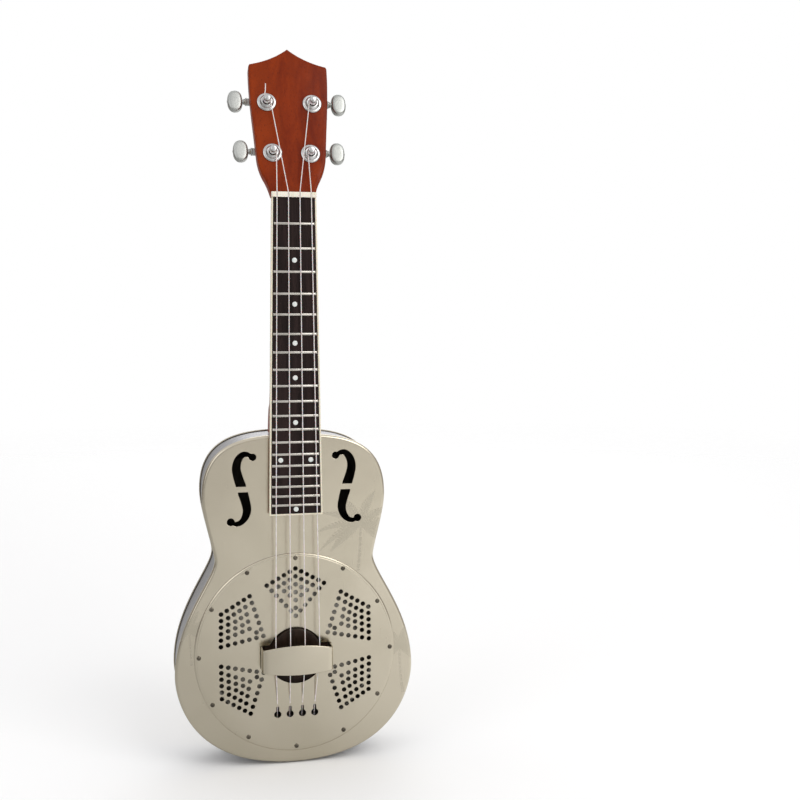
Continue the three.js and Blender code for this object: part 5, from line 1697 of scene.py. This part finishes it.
def tuner_housing(number, side, x, z):
    """Cast cover, square above and round below, with a proud disc, a barrel and a screwed lug."""
    base = HEAD_THICKNESS + GAP
    back = base + HOUSING_HEIGHT
    arc = []
    steps = 24
    for i in range(steps + 1):
        angle = math.pi + math.pi * i / steps
        arc.append((x + HOUSING_HALF * math.cos(angle), z + HOUSING_HALF * math.sin(angle)))
    left, right, top = x - HOUSING_HALF, x + HOUSING_HALF, z + HOUSING_TOP
    corners = filleted([(right, z), (right, top), (left, top), (left, z)], 1.0, 4)
    skin = Skin()
    slab(skin, [*arc, *corners[1:-1]], base, back, 0.1, 0.7)
    disc = HOUSING_HALF - 0.8
    turn(skin, filleted([(0, back - 0.5), (disc, back - 0.5), (disc, back + 0.45), (disc - 0.8, back + 0.55),
                         (0, back + 0.5)], 0.3, 3), centre=(x, 0, z), sides=56)
    axis_z = z + WORM_OFFSET
    barrel = filleted([
        (0, HOUSING_HALF - 2), (BARREL_RADIUS + 0.5, HOUSING_HALF - 2),
        (BARREL_RADIUS + 0.35, HOUSING_HALF + 1.2), (BARREL_RADIUS - 0.1, BARREL_END - 1.4),
        (BARREL_RADIUS + 0.15, BARREL_END - 1.3), (BARREL_RADIUS + 0.15, BARREL_END), (0, BARREL_END)],
        0.4, 3)
    turn(skin, [(r, side * along) for r, along in barrel], axis="X", centre=(x, WORM_DEPTH, axis_z), sides=40)
    toward = Vector((-side * math.sin(LUG_TURN), -math.cos(LUG_TURN)))
    across = Vector((-toward.y, toward.x))
    middle = Vector((x, z)) + toward * LUG_REACH
    lug = []
    for i in range(13):
        angle = -math.pi / 2 + math.pi * i / 12
        lug.append(middle + (toward * math.cos(angle) + across * math.sin(angle)) * 2.35)
    lug.extend([middle - toward * 4.5 + across * 3.4, middle - toward * 4.5 - across * 3.4])
    slab(skin, [tuple(point) for point in lug], base, base + 1.6, 0.1, 0.4)
    made = even_normals(mesh_object(f"tuner_{number}_gear_cover", skin, FINISH["satin"], HEAD_FRAME))
    belongs(made, "body", "satin_chrome", f"tuner_{number}_housing")
    screw = cross_screw(f"tuner_{number}_lug_screw", 1.75, 0.9, (middle.x, base + 1.6, middle.y), (0, 1, 0),
                        FINISH["chrome"], HEAD_FRAME)
    belongs(screw, "body", "chrome")


def oval(half_width, half_height, sides=56, power=0.84):
    """A rounded oval, a little squarer than an ellipse."""
    loop = []
    for i in range(sides):
        angle = 2 * math.pi * i / sides
        across, up = (math.copysign(abs(part) ** power, part) for part in (math.cos(angle), math.sin(angle)))
        loop.append((half_width * across, half_height * up))
    return loop


def tuner_knob(number, side, x, z):
    """Cast oval button with softly domed faces on a turned collar."""
    skin = Skin()
    axis_z = z + WORM_OFFSET
    centre = x + side * KNOB_CENTRE
    half = KNOB_THICKNESS / 2
    layers = [
        (3.6, -half), (2.0, -half + 0.1), (1.05, -half + 0.32), (0.42, -half + 0.95), (0.1, -half + 1.9),
        (0, -0.5)]
    layers.extend([(inset, -y) for inset, y in reversed(layers)])
    rings = []
    for inset, y in layers:
        loop = oval(KNOB_HALF_WIDTH - inset, KNOB_HALF_HEIGHT - inset)
        rings.append(skin.ring([(centre + px, WORM_DEPTH + y, axis_z + pz) for px, pz in loop]))
    skin.bands(rings)
    skin.cap(rings[0])
    skin.cap(rings[-1])
    inner = BARREL_END + GAP
    outer = KNOB_CENTRE - KNOB_HALF_WIDTH + 1.6
    collar = filleted([
        (0, inner), (2.6, inner), (2.6, inner + 0.7), (2.0, inner + 1.0), (2.4, outer), (0, outer)], 0.3, 3)
    turn(skin, [(r, side * along) for r, along in collar], axis="X", centre=(x, WORM_DEPTH, axis_z), sides=32)
    made = mesh_object(f"tuner_{number}_button_cap", skin, FINISH["satin"], HEAD_FRAME, sharp_angle=50)
    belongs(made, f"tuner_{number}_button", "satin_chrome", f"tuner_{number}_knob")
    tip = (centre + side * (KNOB_HALF_WIDTH - 0.25), WORM_DEPTH, axis_z)
    screw = cross_screw(
        f"tuner_{number}_knob_screw", 1.3, 0.55, tip, (side, 0, 0), FINISH["chrome"], HEAD_FRAME)
    belongs(screw, f"tuner_{number}_button", "chrome")


# ---------- strings ----------
def on_head(x, y, z):
    """A point of the head's own frame, in the frame of the part."""
    return tuple((HEAD_FRAME @ (Vector((x, y, z)) * MM)) / MM)


def string_run(index, side, x, along):
    """From its knot under the cover, over the saddle and the nut, to the inner side of its post."""
    tail_x, saddle_x, nut_x = (string_x(index, place) for place in ("tail", "saddle", "nut"))
    under = COVER_FACE + COVER_THICKNESS
    tuck = POST_WAIST + STRING_RADIUS
    post = on_head(side * (x - tuck), -WRAP_FOOT, along)
    saddle_top = (saddle_x, BOARD_Y - STRING_RISE_AT_SADDLE, CONE_Z)
    corners = [
        (tail_x, under + 3.4, CONE_Z - KEYHOLE_BELOW - 6), (tail_x, under + 3.0, CONE_Z - KEYHOLE_BELOW - 1),
        (tail_x, under + 0.2, CONE_Z - KEYHOLE_BELOW + KEYHOLE_RADIUS + KEYHOLE_SLOT - 1),
        saddle_top,
        (nut_x, BOARD_Y - STRING_RISE_AT_NUT, NUT_Z + NUT_THICKNESS - 0.4), post]
    skin = Skin()
    tube(skin, filleted(corners, 1.6, 5), STRING_RADIUS)
    run = mesh_object(f"string_{index + 1}_run", skin, FINISH["nylon"], sharp_angle=70)
    belongs(run, "body", "clear_nylon", f"string_{index + 1}")


def string_knot(index):
    """A small overhand knot caught under the cover plate."""
    x = string_x(index, "tail")
    y = COVER_FACE + COVER_THICKNESS + 3.4
    z = CONE_Z - KEYHOLE_BELOW - 6.2
    path = []
    steps = 48
    for i in range(steps + 1):
        t = 2 * math.pi * i / steps
        path.append((x + 0.62 * (math.sin(t) + 2 * math.sin(2 * t)) * 0.62, y + 0.42 * -math.sin(3 * t),
                     z + 0.62 * (math.cos(t) - 2 * math.cos(2 * t)) * 0.62))
    skin = Skin()
    tube(skin, path, STRING_RADIUS)
    knot = mesh_object(f"string_{index + 1}_knot", skin, FINISH["nylon"], sharp_angle=70)
    belongs(knot, "body", "clear_nylon")


def string_wraps(index, number, side, x, along):
    """The turns round a post, from the inner side, and the cut end that sticks out."""
    radius = POST_WAIST + STRING_RADIUS
    sense = -side
    start = math.pi if side > 0 else 0.0
    steps = 22
    path = []
    for i in range(int(steps * WRAP_TURNS) + 1):
        share = i / steps
        angle = start + sense * 2 * math.pi * share
        path.append(on_head(side * x + radius * math.cos(angle), -WRAP_FOOT - WRAP_PITCH * share,
                            along + radius * math.sin(angle)))
    end_turn = start + sense * 2 * math.pi * WRAP_TURNS
    out = Vector((math.cos(end_turn), math.sin(end_turn)))
    ahead = Vector((-out.y, out.x)) * sense
    last_y = -WRAP_FOOT - WRAP_PITCH * WRAP_TURNS
    for reach in (1.2, STUB_LENGTH):
        spot = out * (radius + 0.12 * reach) + ahead * reach
        path.append(on_head(side * x + spot.x, last_y - 0.25 * reach, along + spot.y))
    if number == LONG_STUB_TUNER:
        path.append(on_head(side * x - 1.4, last_y - 1.2, along + 7))
        path.append(on_head(side * x - 1.2, last_y - 1.8, along + 12.5))
    skin = Skin()
    tube(skin, path, STRING_RADIUS)
    wraps = mesh_object(f"string_{index + 1}_wraps", skin, FINISH["nylon"], sharp_angle=70)
    belongs(wraps, f"tuner_{number}_winder", "clear_nylon")


# ---------- assembly ----------
front_plate()
back_plate()
side_band()
cone_well()
cone()
biscuit()
saddle()
cover_plate()
cover_screws()
hand_rest()
neck()
binding()
nut()
frets()
position_dots()
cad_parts["fingerboard"].data.materials.clear()
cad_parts["fingerboard"].data.materials.append(FINISH["rosewood"])
for number, side, x, along in TUNERS:
    tuner_bush(number, side * x, along)
    tuner_post(number, side * x, along)
    tuner_housing(number, side, side * x, along)
    tuner_knob(number, side, side * x, along)
    for node in (f"tuner_{number}_gear", f"tuner_{number}_worm_shaft"):
        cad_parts[node].data.materials.clear()
        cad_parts[node].data.materials.append(FINISH["brass"])
for index, (number, side, x, along) in enumerate(TUNERS):
    string_run(index, side, x, along)
    string_knot(index)
    string_wraps(index, number, side, x, along)


# ---------- floor, light and camera ----------
def floor():
    """A wide pale floor just under the body."""
    size = 4000.0
    skin = Skin()
    z = NUT_Z - BODY_BOTTOM - 1
    skin.cap(skin.ring([(-size, -size, z), (size, -size, z), (size, size, z), (-size, size, z)]))
    mesh = bpy.data.meshes.new("floor")
    mesh.from_pydata([Vector(point) * MM for point in skin.points], [], skin.faces)
    mesh.materials.append(paper_white())
    made = bpy.data.objects.new("floor", mesh)
    bpy.context.scene.collection.objects.link(made)


def soft_box(name, place, aim, width, height, power, colour=(1, 1, 1)):
    """A square lamp turned towards a point."""
    light = bpy.data.lights.new(name, "AREA")
    light.shape = "RECTANGLE"
    light.size = width
    light.size_y = height
    light.energy = power
    light.color = colour
    made = bpy.data.objects.new(name, light)
    made.location = place
    made.rotation_mode = "QUATERNION"
    made.rotation_quaternion = (Vector(aim) - Vector(place)).to_track_quat("-Z", "Y")
    bpy.context.scene.collection.objects.link(made)


def studio_world():
    """Even pale surroundings, a little darker low at the sides; the camera sees one flat pale tone."""
    world = bpy.data.worlds.new("studio")
    world.use_nodes = True
    world.node_tree.nodes.clear()
    graph = Graph(world.node_tree)
    direction = graph.apart(graph.node("ShaderNodeTexCoord").outputs["Generated"])
    height = graph.mapped(direction["Z"], -0.05, 0.7)
    side = graph.mapped(graph.maths("ABSOLUTE", direction["X"]), 0.72, 0.95)
    low = graph.mixed(
        graph.mapped(direction["X"], -0.15, 0.36), (0.46, 0.45, 0.44, 1), (0.95, 0.94, 0.92, 1))
    tone = graph.mixed(height, low, (0.98, 0.98, 1.0, 1))
    panels = graph.noise(graph.stretched(graph.together(direction["X"], direction["Y"], direction["Z"]),
                                         (1.0, 1.0, 0.25)), 5.0, 1.0)
    tone = graph.mixed(graph.mapped(panels, 0.4, 0.66, 0.0, 0.32), tone, (0.40, 0.385, 0.36, 1))
    tone = graph.mixed(graph.maths("MULTIPLY", side, 0.75), tone, (0.22, 0.20, 0.19, 1))
    lit = graph.node("ShaderNodeBackground")
    graph.feed(lit.inputs["Color"], tone)
    graph.feed(lit.inputs["Strength"], 1.0)
    seen = graph.node("ShaderNodeBackground")
    graph.feed(seen.inputs["Color"], (1.0, 1.0, 1.0, 1))
    both = graph.node("ShaderNodeMixShader")
    graph.feed(both.inputs[0], graph.node("ShaderNodeLightPath").outputs["Is Camera Ray"])
    graph.feed(both.inputs[1], lit.outputs[0])
    graph.feed(both.inputs[2], seen.outputs[0])
    graph.feed(graph.node("ShaderNodeOutputWorld").inputs["Surface"], both.outputs[0])
    bpy.context.scene.world = world


CAMERA_PLACE = (-0.1158, -0.9531, -0.1044)
CAMERA_HEADING = math.radians(12.21)
CAMERA_TILT = math.radians(-4.247)
CAMERA_LENS = 51.74
SENSOR_WIDTH = 36


def camera():
    """A metre in front, to the left of the middle plane, turned towards it and tilted a little down."""
    data = bpy.data.cameras.new("camera")
    data.lens = CAMERA_LENS
    data.sensor_width = SENSOR_WIDTH
    made = bpy.data.objects.new("camera", data)
    turned = Euler((math.pi / 2 + CAMERA_TILT, 0, -CAMERA_HEADING)).to_matrix().to_4x4()
    made.matrix_world = Matrix.Translation(CAMERA_PLACE) @ turned
    bpy.context.scene.collection.objects.link(made)
    bpy.context.scene.camera = made


floor()
studio_world()
soft_box("key", (1.3, -1.9, 1.5), (0, 0, -0.25), 1.6, 1.6, 24, (1, 0.985, 0.96))
soft_box("fill", (-1.9, -1.6, 0.8), (0, 0, -0.25), 1.4, 2.0, 7, (0.97, 0.985, 1))
soft_box("rear", (0.6, 2.3, 1.3), (0, 0, -0.25), 1.8, 1.6, 14)
camera()
bpy.context.scene.view_settings.view_transform = "Standard"
